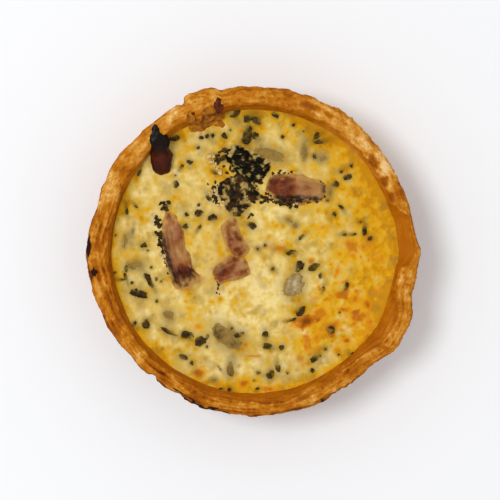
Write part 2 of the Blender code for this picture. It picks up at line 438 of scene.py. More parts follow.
def bacon_material(name, stops, mottle, gloss, fat="ac7c44", char="140a02", wet=(0.5, 0.28)):
    made, tree, shader = new_material(name, 0.4, 0.15)
    value = use_group(tree, mottle, Blotches=0.4, Specks=0.14, Size=0.8).outputs[0]
    streaks = fibre_value(tree, 0.2, 0.05)
    tone = arithmetic(tree, "ADD", arithmetic(tree, "ADD", mask_node(tree, "cooked"), value), arithmetic(
        tree, "MULTIPLY", arithmetic(tree, "SUBTRACT", streaks, 0.5), 0.5), clamp=True)
    colour = ramp(tree, tone, stops)
    colour = mix_colour(tree, mask_node(tree, "fat"), colour, srgb(fat))
    colour = mix_colour(tree, mask_node(tree, "char"), colour, srgb(char))
    tree.links.new(veiled(tree, colour, "c09048"), shader.inputs["Base Color"])
    shine = use_group(tree, gloss, Driest=wet[0], Wettest=wet[1], Patch_Size=2.0, Relief=0.6)
    tree.links.new(shine.outputs["Roughness"], shader.inputs["Roughness"])
    height = arithmetic(tree, "ADD", streaks, shine.outputs["Height"])
    add_bump(tree, shader, height, 0.15 * MM, 0.5)
    shader.inputs["Subsurface Weight"].default_value = 0.1
    shader.inputs["Subsurface Scale"].default_value = 1 * MM
    return made


def mushroom_material(name, stops, mottle, gloss, dryness=(0.75, 0.45), film="987a3a"):
    made, tree, shader = new_material(name, 0.6, 0.1)
    value = use_group(tree, mottle, Blotches=0.9, Specks=0.4, Size=0.6).outputs[0]
    tone = arithmetic(tree, "ADD", mask_node(tree, "cooked"), value, clamp=True)
    tree.links.new(veiled(tree, ramp(tree, tone, stops), film), shader.inputs["Base Color"])
    shine = use_group(tree, gloss, Driest=dryness[0], Wettest=dryness[1], Patch_Size=1.6, Relief=1.0)
    tree.links.new(shine.outputs["Roughness"], shader.inputs["Roughness"])
    add_bump(tree, shader, shine.outputs["Height"], 0.12 * MM, 0.6)
    return made


def herb_material(name, dark, light, gloss):
    made, tree, shader = new_material(name, 0.7, 0.12)
    place = add_node(tree, "ShaderNodeTexCoord").outputs["Object"]
    value = noise_in(tree, place, 1.1 * MM, 3.0, 0.6)
    colour = ramp(tree, value, ((0.35, dark), (0.7, light)))
    tree.links.new(veiled(tree, colour, "8a7028"), shader.inputs["Base Color"])
    shine = use_group(tree, gloss, Driest=0.85, Wettest=0.55, Patch_Size=1.0, Relief=1.0)
    tree.links.new(shine.outputs["Roughness"], shader.inputs["Roughness"])
    add_bump(tree, shader, shine.outputs["Height"], 0.08 * MM, 0.5)
    return made


# ------------------------------------------------------------------------------------------------
# The crust.
SEGMENTS = 192
# The section, from the middle of the underside, up the outside, over the rim and down to the floor.
# The outer wall and the hidden inner wall are straight, so only their ends are given.
UNDERSIDE = ((30, 0), (45.4, 0), (46.6, 0.25), (47.5, 1.6))
RIM = (
    (59.2, 27.9), (59.2, 29.0), (58.8, 29.9), (58.0, 30.4), (57.0, 30.6), (56.0, 30.5), (55.0, 30.5),
    (54.1, 30.3), (53.4, 29.9), (52.9, 29.2), (52.7, 28.2), (52.3, 26.9), (51.9, 25.6), (51.5, 24.4),
    (51.0, 22.8),
)
TALLEST_CRUMB = 0.7 * MM  # how far the relief may stand above the solid
WALL_RINGS = 7
INNER_RINGS = 1


def straight(start, end, rings):
    """Rings between two places on the section, without its ends."""
    shares = [(i + 1) / (rings + 1) for i in range(rings)]
    return [tuple(a + s * (b - a) for a, b in zip(start, end)) for s in shares]


def crust_section():
    floor = (FLOOR_RADIUS / MM, FLOOR_HEIGHT / MM)
    section = list(UNDERSIDE) + straight(UNDERSIDE[-1], RIM[0], WALL_RINGS) + list(RIM)
    section += straight(RIM[-1], floor, INNER_RINGS) + [floor, (25, floor[1])]
    return [(radius * MM, height * MM) for radius, height in section]


def turn_shell(name, section, segments):
    """A round shell: a disc whose edge is extruded and resized from ring to ring, then closed."""
    deselect()
    radius, height = section[0]
    bpy.ops.mesh.primitive_circle_add(
        vertices=segments, radius=radius, fill_type="TRIFAN", location=(0, 0, height)
    )
    shell = bpy.context.active_object
    shell.name = name
    bpy.ops.object.transform_apply(location=True, rotation=True, scale=True)
    edit(shell)
    bpy.ops.mesh.select_mode(type="EDGE")
    bpy.ops.mesh.select_all(action="DESELECT")
    bpy.ops.mesh.select_non_manifold()
    for new_radius, new_height in section[1:]:
        bpy.ops.mesh.extrude_edges_move(TRANSFORM_OT_translate={"value": (0, 0, new_height - height)})
        grow = new_radius / radius
        bpy.ops.transform.resize(value=(grow, grow, 1), center_override=(0, 0, new_height))
        radius, height = new_radius, new_height
    bpy.ops.mesh.edge_face_add()
    bpy.ops.mesh.poke()
    bpy.ops.mesh.select_all(action="SELECT")
    bpy.ops.mesh.normals_make_consistent(inside=False)
    leave_edit()
    return shell


def mark_track(shell, section):
    """How far each point lies along the section, as a share of an index, kept for the sculpting."""
    points = points_of(shell)
    radius = np.hypot(points[:, 0], points[:, 1])
    rings = np.array(section)
    nearest = np.argmin(
        (radius[:, None] - rings[None, :, 0]) ** 2 + (points[:, 2, None] - rings[None, :, 1]) ** 2, axis=1
    )
    lengths = np.concatenate([[0], np.cumsum(np.hypot(*np.diff(rings, axis=0).T))])
    track = shell.data.attributes.new("track", "FLOAT", "POINT")
    track.data.foreach_set("value", lengths[nearest].astype(np.float32))
    return lengths


def read_mask(piece, name):
    values = np.empty(len(piece.data.vertices), np.float32)
    piece.data.attributes[name].data.foreach_get("value", values)
    return values.astype(float)


# How rough, layered and toasted the rim is, going round it (angle, half spread, flatness, amount).
LAYERED_ARCS = (
    (178, 30, 4, 0.55), (226, 20, 2, 0.3), (268, 36, 4, 0.6), (318, 20, 4, 0.55), (92, 12, 2, 0.35),
)
CRUMBLY_ARCS = (
    (46, 18, 4, 0.9), (345, 8, 4, 0.8), (20, 12, 2, 0.35), (100, 3, 2, 0.8), (300, 12, 2, 0.4),
)
# (x, y, length, width, turn, amount) in mm: dark red-brown spots where the butter browned.
RED_SPOTS = (
    (42.9, 32.4, 3.4, 6.2, 25, 1.0), (46.9, 25.0, 3.8, 4.4, 20, 0.9), (49.6, 19.4, 3.2, 4.8, 20, 0.95),
    (45.4, 29.4, 1.6, 2.4, 30, 0.4), (20.0, 52.2, 9.0, 3.0, -20, 0.85), (9.9, 54.2, 4.5, 3.0, 0, 0.5),
    (14.6, 52.9, 5.0, 2.4, -10, 0.6), (26.6, 49.2, 4.6, 2.2, -30, 0.6),
    (17.8, -52.7, 7.0, 2.0, 24, 0.85), (-22.4, 46.6, 3.6, 4.0, 20, 0.55),
    (-56.0, 2.0, 2.2, 6.0, 0, 0.75), (-51.2, -10.0, 3.0, 2.5, 0, 0.7), (57.0, -26.0, 2.0, 5.0, 20, 0.5),
    (38.0, -41.0, 5.0, 1.8, 45, 0.5), (-47.5, -25.0, 3.0, 6.0, 25, 0.5),
    (-37.0, -39.5, 3.0, 7.0, 42, 0.5), (54.5, -9.0, 2.0, 3.0, 0, 0.4), (-2.0, 56.2, 9.0, 2.4, 0, 0.45),
)
BURNT_SPOTS = (
    (-59.6, 1.6, 2.6, 9.5, 2, 1.0), (-57.6, -7.6, 2.6, 4.0, 10, 0.95), (57.9, -20.8, 1.7, 7.0, 8, 1.0),
    (-56.6, 9.0, 1.2, 5.0, -8, 0.6), (30.0, 51.2, 8.0, 1.5, -32, 0.45),
)
CHIPS = ((-36.4, -45.4, 3.0, 3.0, 0, 1.0), (-27.4, -52.6, 3.4, 2.6, 0, 1.0), (-26.0, 53.6, 2.6, 2.4, 0, 0.7))


def crust_shape(shell):
    """The dough as it was pressed and as it slumped: swells, leans, and a general unevenness."""
    points = points_of(shell)
    track = read_mask(shell, "track")
    degrees = np.degrees(np.arctan2(points[:, 1], points[:, 0]))
    radius = np.hypot(points[:, 0], points[:, 1])
    height = points[:, 2]
    start, end = shell["outer_edge"], shell["inner_edge"]
    across = np.clip((track - start) / (end - start), 0, 1)
    rise = np.clip(height / CRUST_HEIGHT, 0, 1)
    above = np.clip((height - CUSTARD_LEVEL) / (CRUST_HEIGHT - CUSTARD_LEVEL), 0, 1)
    above = np.where(across >= 1, above, 1)
    grow = (1 - across) * swell(RIM_SWELLS, degrees) * rise**2
    grow += across * swell(LIP_LEANS, degrees) * above
    new_radius = radius + grow
    scale = np.where(radius > 0, new_radius / np.maximum(radius, 1e-9), 1)
    points[:, 0] *= scale
    points[:, 1] *= scale
    points[:, 2] += swell(RIM_LIFTS, degrees) * rise**4
    shows = np.sqrt(np.where(across > 0, above, rise))
    place = points / UNEVENNESS_LENGTH
    uneven = [[noise.noise(p) for p in (place + shift).tolist()] for shift in UNEVENNESS_SHIFTS]
    points += np.array(uneven).T * (UNEVENNESS * shows)[:, None]
    move_points(shell, points)
    return degrees, across, rise


def round_noise(degrees, track, along, across, seed, octaves=2):
    """Noise stretched round the rim: `along` is its length that way, and `across` its length over it."""
    reach = RIM_RADIUS / along
    rad = np.radians(degrees)
    points = np.stack([np.cos(rad) * reach, np.sin(rad) * reach, track / across], axis=1)
    return clouds(points, 1.0, seed, octaves)


def crust_relief(shell, degrees, across, rise):
    """Layers, crumbs, pits and chips, raised or cut along the surface's own direction."""
    points = points_of(shell)
    normals = normals_of(shell)
    track = read_mask(shell, "track")
    x, y = points[:, 0], points[:, 1]
    on_rim = step(shell["outer_edge"] - 6 * MM, shell["outer_edge"], track)
    on_rim *= 1 - step(shell["inner_edge"], shell["inner_edge"] + 4 * MM, track)
    layered = swell(LAYERED_ARCS, degrees)
    crumbly = swell(CRUMBLY_ARCS, degrees)
    folds = 1 - 2 * np.abs(round_noise(degrees, track, 20 * MM, 2.1 * MM, 1))
    flakes = round_noise(degrees, track, 5 * MM, 0.8 * MM, 2, 3)
    crumbs = clouds(points, 1.5 * MM, 3, 3)
    lumps = clouds(points, 4.5 * MM, 4, 2)
    pits = 1 - step(0.0, 0.34, cells(points, 2.6 * MM, 5))
    # Thin leaves of dough that end in short steps.
    leaves = 2.4 * round_noise(degrees, track, 11 * MM, 3.2 * MM, 8, 2) + 0.4 * crumbs
    whole = np.floor(leaves)
    torn = 1 - step(0.0, 0.22, leaves - whole)
    terrace = whole + 1 - torn
    relief = on_rim * (0.12 + 0.75 * layered) * (folds - 0.5)
    relief += on_rim * (0.14 + 0.24 * layered) * terrace
    relief += on_rim * (0.06 + 0.2 * layered) * flakes
    relief += on_rim * (0.1 + 0.4 * crumbly) * crumbs
    relief += (0.12 + 0.3 * on_rim) * rise * lumps
    relief -= on_rim * 0.25 * pits * (0.4 + crumbly)
    wall = (1 - on_rim) * rise * (across <= 0)
    relief += wall * (0.16 * clouds(points, 1.4 * MM, 6, 2) + 0.35 * clouds(points, 7 * MM, 7, 2))
    relief += wall * 0.25 * round_noise(degrees, track, 14 * MM, 2.2 * MM, 9, 2)
    chips = spots(x, y, CHIPS, 3.0) * on_rim
    relief -= 1.3 * chips
    points += normals * (relief * MM)[:, None]
    points[:, 2] = np.clip(points[:, 2], 0, MODEL_BOX[1].z + TALLEST_CRUMB)
    move_points(shell, points)
    return {"folds": folds, "flakes": flakes, "crumbs": crumbs, "lumps": lumps, "pits": pits,
            "on_rim": on_rim, "torn": torn, "layered": layered}


BUTTERY_ARCS = ((5, 12, 6, 1.0), (329, 10, 4, 0.5), (265, 30, 4, 0.8))
# Arcs where the outer wall and its top edge are painted dark: partly burnt crust, partly painted shade where
# the wall leans out and faces down.
BURNT_AND_SHADED_WALL_ARCS = ((232, 34, 4, 0.85), (175, 16, 4, 0.6), (60, 16, 4, 0.4), (300, 14, 4, 0.4))
BURNT_AND_SHADED_FRINGE_ARCS = ((250, 13, 4, 0.95), (296, 5, 2, 0.6))
TOAST_ARCS = (
    (132, 20, 4, -0.16), (46, 20, 4, -0.3), (175, 22, 4, 0.06), (220, 26, 4, 0.02), (80, 22, 4, 0.0),
    (5, 11, 6, 0.1), (345, 9, 4, -0.08), (265, 34, 4, 0.14), (318, 14, 4, 0.04), (108, 6, 4, -0.06),
)


def crust_paint(shell, degrees, rise, relief):
    """Where the crust is pale, toasted, buttery or scorched, with painted shade on the outer wall where it
    faces down.
    """
    points = points_of(shell)
    x, y = points[:, 0], points[:, 1]
    track = read_mask(shell, "track")
    inner = step(shell["inner_edge"] - 2.2 * MM, shell["inner_edge"] + 0.6 * MM, track)
    outer = 1 - step(shell["outer_edge"] - 1.0 * MM, shell["outer_edge"] + 1.4 * MM, track)
    ragged = 0.5 * relief["crumbs"]
    on_rim = relief["on_rim"]
    big = clouds(points, 8 * MM, 12, 2)
    toast = 0.46 + swell(TOAST_ARCS, degrees) + 0.22 * big
    toast -= on_rim * (0.1 + 0.2 * relief["layered"]) * relief["folds"]
    toast -= 0.14 * relief["crumbs"] + 0.08 * relief["lumps"] + 0.1 * relief["flakes"]
    toast += 0.12 * relief["pits"] + 0.16 * inner + 0.2 * outer * rise + on_rim * 0.16 * relief["torn"]
    reds = spots(x, y, RED_SPOTS, 3.0, ragged) * on_rim
    toast = np.maximum(toast, reds)
    butter = inner * (0.5 + 0.5 * swell(BUTTERY_ARCS, degrees))
    butter = np.maximum(butter, reds * 0.6)
    burnt_and_shade = spots(x, y, BURNT_SPOTS, 3.0, ragged) * on_rim
    # Painted shade as well as burnt crust: a dark band over the outer wall in some arcs, and a dark fringe at
    # its top edge, where the wall leans out and faces down.
    burnt_and_shaded_wall = swell(BURNT_AND_SHADED_WALL_ARCS, degrees) * outer
    burnt_and_shaded_fringe = (1 - step(shell["outer_edge"] + 0.8 * MM, shell["outer_edge"] + 3.0 * MM, track)) * rise**4
    burnt_and_shaded_fringe *= swell(BURNT_AND_SHADED_FRINGE_ARCS, degrees)
    burnt_and_shade = np.maximum(burnt_and_shade, burnt_and_shaded_fringe * (0.7 + 0.8 * relief["flakes"] + 0.5 * relief["crumbs"]))
    burnt_and_shade = np.maximum(burnt_and_shade, burnt_and_shaded_wall * (0.55 + 0.6 * relief["flakes"] + 0.3 * big))
    paint(shell, "toast", toast)
    paint(shell, "butter", butter)
    paint(shell, "burnt_and_shade", burnt_and_shade)


def make_crust(material):
    section = crust_section()
    shell = turn_shell("pastry_shell", section, SEGMENTS)
    lengths = mark_track(shell, section)
    first = section.index((RIM[2][0] * MM, RIM[2][1] * MM))
    last = section.index((RIM[9][0] * MM, RIM[9][1] * MM))
    shell["outer_edge"] = float(lengths[first])
    shell["inner_edge"] = float(lengths[last])
    subdivide_smoothly(shell, 2)
    degrees, across, rise = crust_shape(shell)
    relief = crust_relief(shell, degrees, across, rise)
    crust_paint(shell, degrees, rise, relief)
    shell.data.shade_smooth()
    shell.data.materials.append(material)
    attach(shell, "root")
    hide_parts("crust")
    return shell


# ------------------------------------------------------------------------------------------------
# The custard.
CELL = 2.8 * MM
FINE_CUTS = 7
DISC_RADIUS = 54.9 * MM
DISC_DEPTH = 9 * MM
UNDERSIDE_SHARE = 0.86  # the slab narrows downwards, so that it stays inside the crust

# (x, y, length, width, turn, amount), in mm and degrees.
BROWNED = (
    (21.0, -3.5, 3.0, 3.0, 0, 0.6), (9.8, 1.3, 6.5, 3.4, 10, 0.5), (18.5, -25.5, 9.0, 5.0, 10, 1.0),
    (24.0, -22.0, 7.0, 4.0, 20, 0.55), (37.0, -17.0, 6.0, 3.4, 60, 0.6),
    (41.5, -19.0, 5.0, 3.6, 100, 0.7), (39.0, -23.5, 7.0, 3.6, 20, 0.65),
    (34.0, -21.0, 4.0, 3.0, 0, 0.5), (44.0, -14.5, 4.0, 3.0, 30, 0.4), (33.8, -32.5, 4.0, 3.2, 0, 0.75),
    (30.3, -7.4, 3.0, 3.4, 0, 0.55), (29.0, -27.0, 6.5, 4.0, 30, 0.6), (23.0, -31.0, 6.0, 4.0, 60, 0.5),
    (20.0, -34.0, 3.0, 7.0, 0, 0.45), (16.5, -38.5, 2.4, 4.0, 10, 0.45),
    (18.0, -39.5, 3.0, 6.0, 20, 0.4), (-20.1, -27.3, 5.4, 3.2, 0, 0.45), (-3.0, -34.0, 3.8, 3.4, 0, 0.5),
    (-3.6, -48.0, 5.2, 3.8, 0, 0.7), (-0.6, -38.0, 7.5, 1.4, 0, 0.45),
    (-19.9, -44.2, 5.4, 4.0, -20, 0.7), (-13.0, 48.0, 5.2, 4.2, 0, 0.7),
    (-18.5, 45.5, 5.0, 3.2, 30, 0.75), (40.0, 1.5, 3.4, 3.4, 0, 0.5), (28.2, 11.6, 2.4, 2.2, 0, 0.45),
    (25.2, 8.8, 2.4, 2.6, 0, 0.45), (35.5, 3.0, 7.0, 3.0, -20, 0.5), (42.5, 4.5, 3.0, 2.6, 0, 0.55),
    (36.0, -1.5, 4.0, 2.6, 20, 0.45), (46.5, -3.0, 3.6, 6.0, 0, 0.4), (-4.3, -16.0, 2.6, 3.0, 0, 0.3),
    (-24.3, 4.5, 2.2, 2.8, 0, 0.3), (28.0, 15.0, 5.0, 2.0, 0, 0.3), (5.0, -50.0, 9.0, 2.4, 0, 0.5),
    (22.5, -17.0, 4.0, 2.4, 0, 0.45), (30.0, -36.0, 3.0, 4.0, 20, 0.45), (-45.6, 9.8, 1.6, 2.0, 0, 0.35),
    (-48.0, 0.0, 2.0, 8.0, 0, 0.3),
)
GOLDEN = (
    (38, 22, 26, 34, -35, 0.36), (47, -4, 14, 50, 8, 0.34), (18, 46, 34, 10, -20, 0.34),
    (30, -24, 30, 26, 0, 0.2), (34, -20, 26, 24, 0, 0.26), (22, -32, 18, 14, 30, 0.2),
    (38, 2, 18, 16, 0, 0.16), (-26, 8, 6, 30, 10, 0.1), (-18, -20, 24, 16, 20, 0.1),
    (-2, 45, 20, 8, 0, 0.25), (-44, 20, 5, 16, -20, 0.12), (-12, 28, 14, 8, 30, 0.1),
    (44, -14, 10, 20, 12, 0.25), (2, -48, 40, 6, 0, 0.28), (24, 4, 20, 14, 0, 0.08),
    (26, 40, 20, 8, -35, 0.34), (43, 30, 8, 20, 35, 0.3), (-32, -38, 16, 6, -45, 0.12),
)
CREAMY = (
    (6, -18, 16, 14, 30, 0.30), (-12, -22, 6, 18, -25, 0.26), (18, -12, 14, 10, 0, 0.22),
    (-2, -26, 16, 10, 10, 0.2), (34, -28, 5, 4, 0, 0.5), (45.0, -11.8, 4, 5, 0, 0.4),
    (-42, 24, 8, 18, 30, 0.16), (8, 14, 16, 6, 10, 0.22), (-34, 8, 10, 12, 0, 0.18),
    (-30, -22, 14, 10, 0, 0.2), (-8, -42, 24, 8, 10, 0.28), (14, -44, 12, 5, 20, 0.3),
    (20, -30, 4, 5, 0, 0.4), (32, -24, 4, 2.4, 0, 0.3), (26, -38, 8, 3, 30, 0.3),
    (10, 27, 20, 5, 5, 0.12), (2, 12, 8, 12, 0, 0.2), (-22, 40, 10, 5, 20, 0.12),
    (0, -12, 10, 14, 0, 0.15), (30, 8, 9, 5, -10, 0.14), (22, -3, 8, 8, 0, 0.15),
)
GREYED = (
    (-10.2, -32.4, 14.0, 9.4, -38, 0.6), (6.4, 35.6, 14.0, 5.4, -18, 0.45),
    (12.4, -12.2, 8.0, 9.0, 0, 0.35), (-30.8, -23.6, 5.6, 6.6, 20, 0.55),
    (-44.3, 4.0, 2.8, 7.4, -10, 0.5), (-42.0, -4.9, 9.0, 6.5, 0, 0.34), (18.4, 36.6, 2.8, 7.4, 0, 0.85),
    (25.4, 33.6, 4.0, 3.6, 0, 0.7), (22.2, 34.6, 2.0, 1.6, 0, 0.5), (15.3, 9.5, 2.8, 3.6, -30, 0.7),
    (12.5, 10.8, 7.0, 3.4, -15, 0.3), (18.6, 14.0, 6.0, 3.0, 10, 0.18), (6.5, 35.9, 12.5, 4.0, -18, 0.3),
    (-8.2, -40.5, 4.2, 10.0, 5, 0.55), (-14.4, -46.7, 4.6, 2.0, -10, 0.5),
    (-1.0, 18.5, 4.0, 2.2, 20, 0.3), (-30.4, 20.5, 8.0, 5.0, 0, 0.12), (9.8, -42.0, 14.0, 7.0, 15, 0.14),
    (24.5, -36.0, 6.0, 4.0, 30, 0.25), (-8.4, 13.4, 4.0, 5.0, 50, 0.3), (-40.6, 8.6, 7.0, 10.0, 0, 0.1),
    (1.6, 0.8, 2.6, 3.0, 0, 0.35), (-17.5, -3.0, 3.4, 2.8, 0, 0.25), (-12.4, -5.5, 3.0, 4.0, 0, 0.2),
    (-14.6, -12.8, 5.0, 5.0, 0, 0.2), (13.0, -12.5, 7.0, 4.0, 0, 0.25),
)
GREENED = (
    (-1.0, 49.6, 6.4, 5.0, 10, 0.5), (-1.4, 43.8, 4.8, 7.0, 0, 0.75), (-5.6, 47.2, 5.0, 4.6, 0, 0.45),
    (0.8, 47.2, 4.0, 3.8, -20, 0.65), (-3.0, 39.6, 5.2, 5.0, 10, 0.6), (1.4, 40.6, 3.6, 3.4, 0, 0.5),
    (22.5, 41.0, 9.0, 7.0, -30, 0.4), (4.3, -30.0, 3.0, 5.6, 10, 0.35),
    (-16.0, -15.0, 4.0, 3.0, 30, 0.25), (-45.4, -11.0, 5.0, 5.6, 20, 0.3),
    (-35.0, 33.4, 1.4, 3.4, 35, 0.3), (12.0, -13.0, 2.0, 2.0, 0, 0.1), (29.0, 9.0, 7.0, 2.4, 0, 0.2),
    (-14.6, 9.6, 3.4, 5.0, 30, 0.15), (17.2, 18.4, 10.0, 3.0, 10, 0.25), (-38.6, -8.4, 3.0, 3.6, 0, 0.1),
    (3.0, -38.6, 12.0, 4.0, -10, 0.12), (-25.0, -38.6, 6.0, 4.4, -20, 0.3),
    (-16.4, 19.2, 3.2, 7.0, -60, 0.2),
)
REDDENED = (
    (-5.4, -1.6, 6.0, 7.0, 0, 0.6), (-7.0, 4.4, 9.0, 16.0, 20, 0.4), (-9.6, -5.6, 13.0, 9.0, 20, 0.4),
    (-20.6, -10.4, 6.0, 3.0, 0, 0.7), (15.0, 27.6, 18.0, 3.0, -4, 0.15),
    (7.7, 1.3, 7.0, 3.0, -10, 0.45), (-24.4, -13.4, 3.4, 3.0, 0, 0.6), (-27.5, 3.0, 3.0, 14.0, 15, 0.1),
    (4.6, 3.0, 3.0, 4.0, 0, 0.25), (-12.6, -8.6, 3.0, 4.0, 0, 0.35), (-20.5, 38.8, 3.0, 1.6, 20, 0.3),
)
BROWNED_REGIONS = (
    (34, -21, 24, 22, 0, 0.9), (24, -30, 22, 16, 20, 0.75), (38, 1, 16, 14, 0, 0.75),
    (44, -10, 8, 24, 0, 0.45), (22, -4, 9, 9, 0, 0.25), (-18, 46, 8, 6, 25, 0.6),
    (36, 20, 14, 12, 0, 0.22),
)
STREAK_TURN = 112  # degrees from +X
# Ridges where the custard wrinkled as it set: (x, y, length, width, turn, height in mm).
WRINKLES = (
    (-9.0, -20.0, 2.2, 16.0, 22, 0.55), (-5.0, -22.5, 1.8, 13.0, 28, 0.45),
    (-13.0, -21.0, 1.6, 11.0, 15, 0.35), (0.5, -25.0, 2.0, 10.0, 30, 0.4),
    (3.6, -15.0, 2.4, 12.0, 40, 0.35), (16.4, -15.8, 2.2, 8.0, 50, 0.35),
    (10.0, 13.0, 12.0, 2.2, 5, 0.35), (-1.6, 14.5, 2.2, 9.0, -40, 0.4),
    (28.0, -20.0, 7.0, 2.0, 30, 0.35), (33.0, -27.5, 3.4, 3.0, 0, 0.6),
    (-31.0, 27.0, 3.0, 13.0, 35, 0.2), (22.0, 26.5, 14.0, 3.0, -5, 0.4),
    (18.0, -35.0, 3.0, 6.0, 60, 0.4), (4.0, 19.0, 6.0, 2.0, 60, 0.35),
    (-20.0, -37.5, 9.0, 2.2, -20, 0.25), (32.5, -18.0, 4.0, 2.0, 70, 0.4),
    (40.6, -21.0, 2.0, 5.0, 60, 0.35), (11.0, -20.5, 6.0, 1.8, 60, 0.3),
)


def wall_radius(degrees, height):
    """The inner wall's radius at a height near the custard."""
    share = (height - FLOOR_HEIGHT) / (CRUST_HEIGHT - RIM_ROUNDING - FLOOR_HEIGHT)
    above = np.clip((height - CUSTARD_LEVEL) / (CRUST_HEIGHT - CUSTARD_LEVEL), 0, 1)
    return FLOOR_RADIUS + share * (LIP_RADIUS - FLOOR_RADIUS) + swell(LIP_LEANS, degrees) * above


def custard_blank():
    """A disc of coarse squares with a fine top, from a grid trimmed round and extruded down."""
    deselect()
    cells_across = 2 * math.ceil(DISC_RADIUS / CELL)
    narrow = UNDERSIDE_SHARE
    bpy.ops.mesh.primitive_grid_add(
        x_subdivisions=cells_across, y_subdivisions=cells_across, size=cells_across * CELL,
        location=(0, 0, CUSTARD_LEVEL - DISC_DEPTH),
    )
    disc = bpy.context.active_object
    disc.name = "custard_filling"
    bpy.ops.object.transform_apply(location=True, rotation=True, scale=True)
    edit(disc)
    bpy.ops.mesh.select_mode(type="VERT")
    bpy.ops.mesh.select_all(action="DESELECT")
    leave_edit()
    for vert in disc.data.vertices:
        vert.select = math.hypot(vert.co.x, vert.co.y) > DISC_RADIUS
    edit(disc)
    bpy.ops.mesh.delete(type="VERT")
    bpy.ops.mesh.select_non_manifold()
    leave_edit()
    for vert in disc.data.vertices:
        if vert.select:
            out = DISC_RADIUS / math.hypot(vert.co.x, vert.co.y)
            vert.co.x *= out
            vert.co.y *= out
    edit(disc)
    bpy.ops.mesh.select_all(action="SELECT")
    bpy.ops.transform.resize(value=(narrow, narrow, 1), center_override=(0, 0, 0))
    bpy.ops.mesh.extrude_region_move(TRANSFORM_OT_translate={"value": (0, 0, DISC_DEPTH)})
    bpy.ops.transform.resize(value=(1 / narrow, 1 / narrow, 1), center_override=(0, 0, 0))
    bpy.ops.mesh.select_mode(type="FACE")
    bpy.ops.mesh.subdivide(number_cuts=FINE_CUTS)
    bpy.ops.mesh.select_all(action="SELECT")
    bpy.ops.mesh.normals_make_consistent(inside=False)
    leave_edit()
    return disc


def sprinkle(count, radius, low, high, seed):
    """Evenly scattered round spots, as (x, y, length, width, turn, 1) in mm."""
    draw = random.Random(seed)
    made = []
    for _ in range(count):
        away = radius * math.sqrt(draw.random())
        angle = draw.uniform(0, math.tau)
        size = draw.uniform(low, high)
        oval = draw.uniform(0.6, 1.0)
        turn = draw.uniform(0, 180)
        made.append((away * math.cos(angle), away * math.sin(angle), size, size * oval, turn, 1.0))
    return made


def gather(points, places, soft=2.0):
    """As spots, but for many small places: only the points near each one are worked on."""
    total = np.zeros(len(points))
    x, y = points[:, 0], points[:, 1]
    for place in places:
        reach = max(place[2], place[3]) * 1.3 * MM
        near = (np.abs(x - place[0] * MM) < reach) & (np.abs(y - place[1] * MM) < reach)
        if near.any():
            total[near] = np.maximum(total[near], spots(x[near], y[near], [place], soft))
    return total


def custard_shape(disc):
    points = points_of(disc)
    top = points[:, 2] > CUSTARD_LEVEL - MM
    x, y = points[:, 0], points[:, 1]
    flat = points * np.array([1, 1, 0])
    degrees = np.degrees(np.arctan2(y, x))
    radius = np.hypot(x, y)
    wave = clouds(flat, CUSTARD_WAVE_LENGTH)
    curds = clouds(flat, 4.2 * MM, 2, 2)
    small = clouds(flat, 1.7 * MM, 3, 2)
    ragged = 0.35 * curds
    wrinkles = np.zeros(len(points))
    for place in WRINKLES:
        wrinkles += spots(x, y, [place], 2.0, ragged)
    pits = gather(points, sprinkle(170, 50, 0.9, 2.2, 5), 3.0)
    to_wall = wall_radius(degrees, CUSTARD_LEVEL) - radius
    edge = 1 - step(0, 3.2 * MM, to_wall)
    humps = spots(x, y, PIECE_MOUNDS, 4.0, ragged)
    humps *= 1 - spots(x, y, PIECE_SEATS, 6.0, 0 * ragged)
    rise = CUSTARD_WAVE_HEIGHT * wave + 0.26 * MM * curds + 0.12 * MM * small
    rise += wrinkles * MM - 0.32 * MM * pits + 1.1 * MM * edge**2 + 0.7 * MM * humps
    points[:, 2] += np.where(top, rise, 0)
    move_points(disc, points)
    return {"curds": curds, "pits": pits, "edge": edge, "wrinkles": wrinkles}


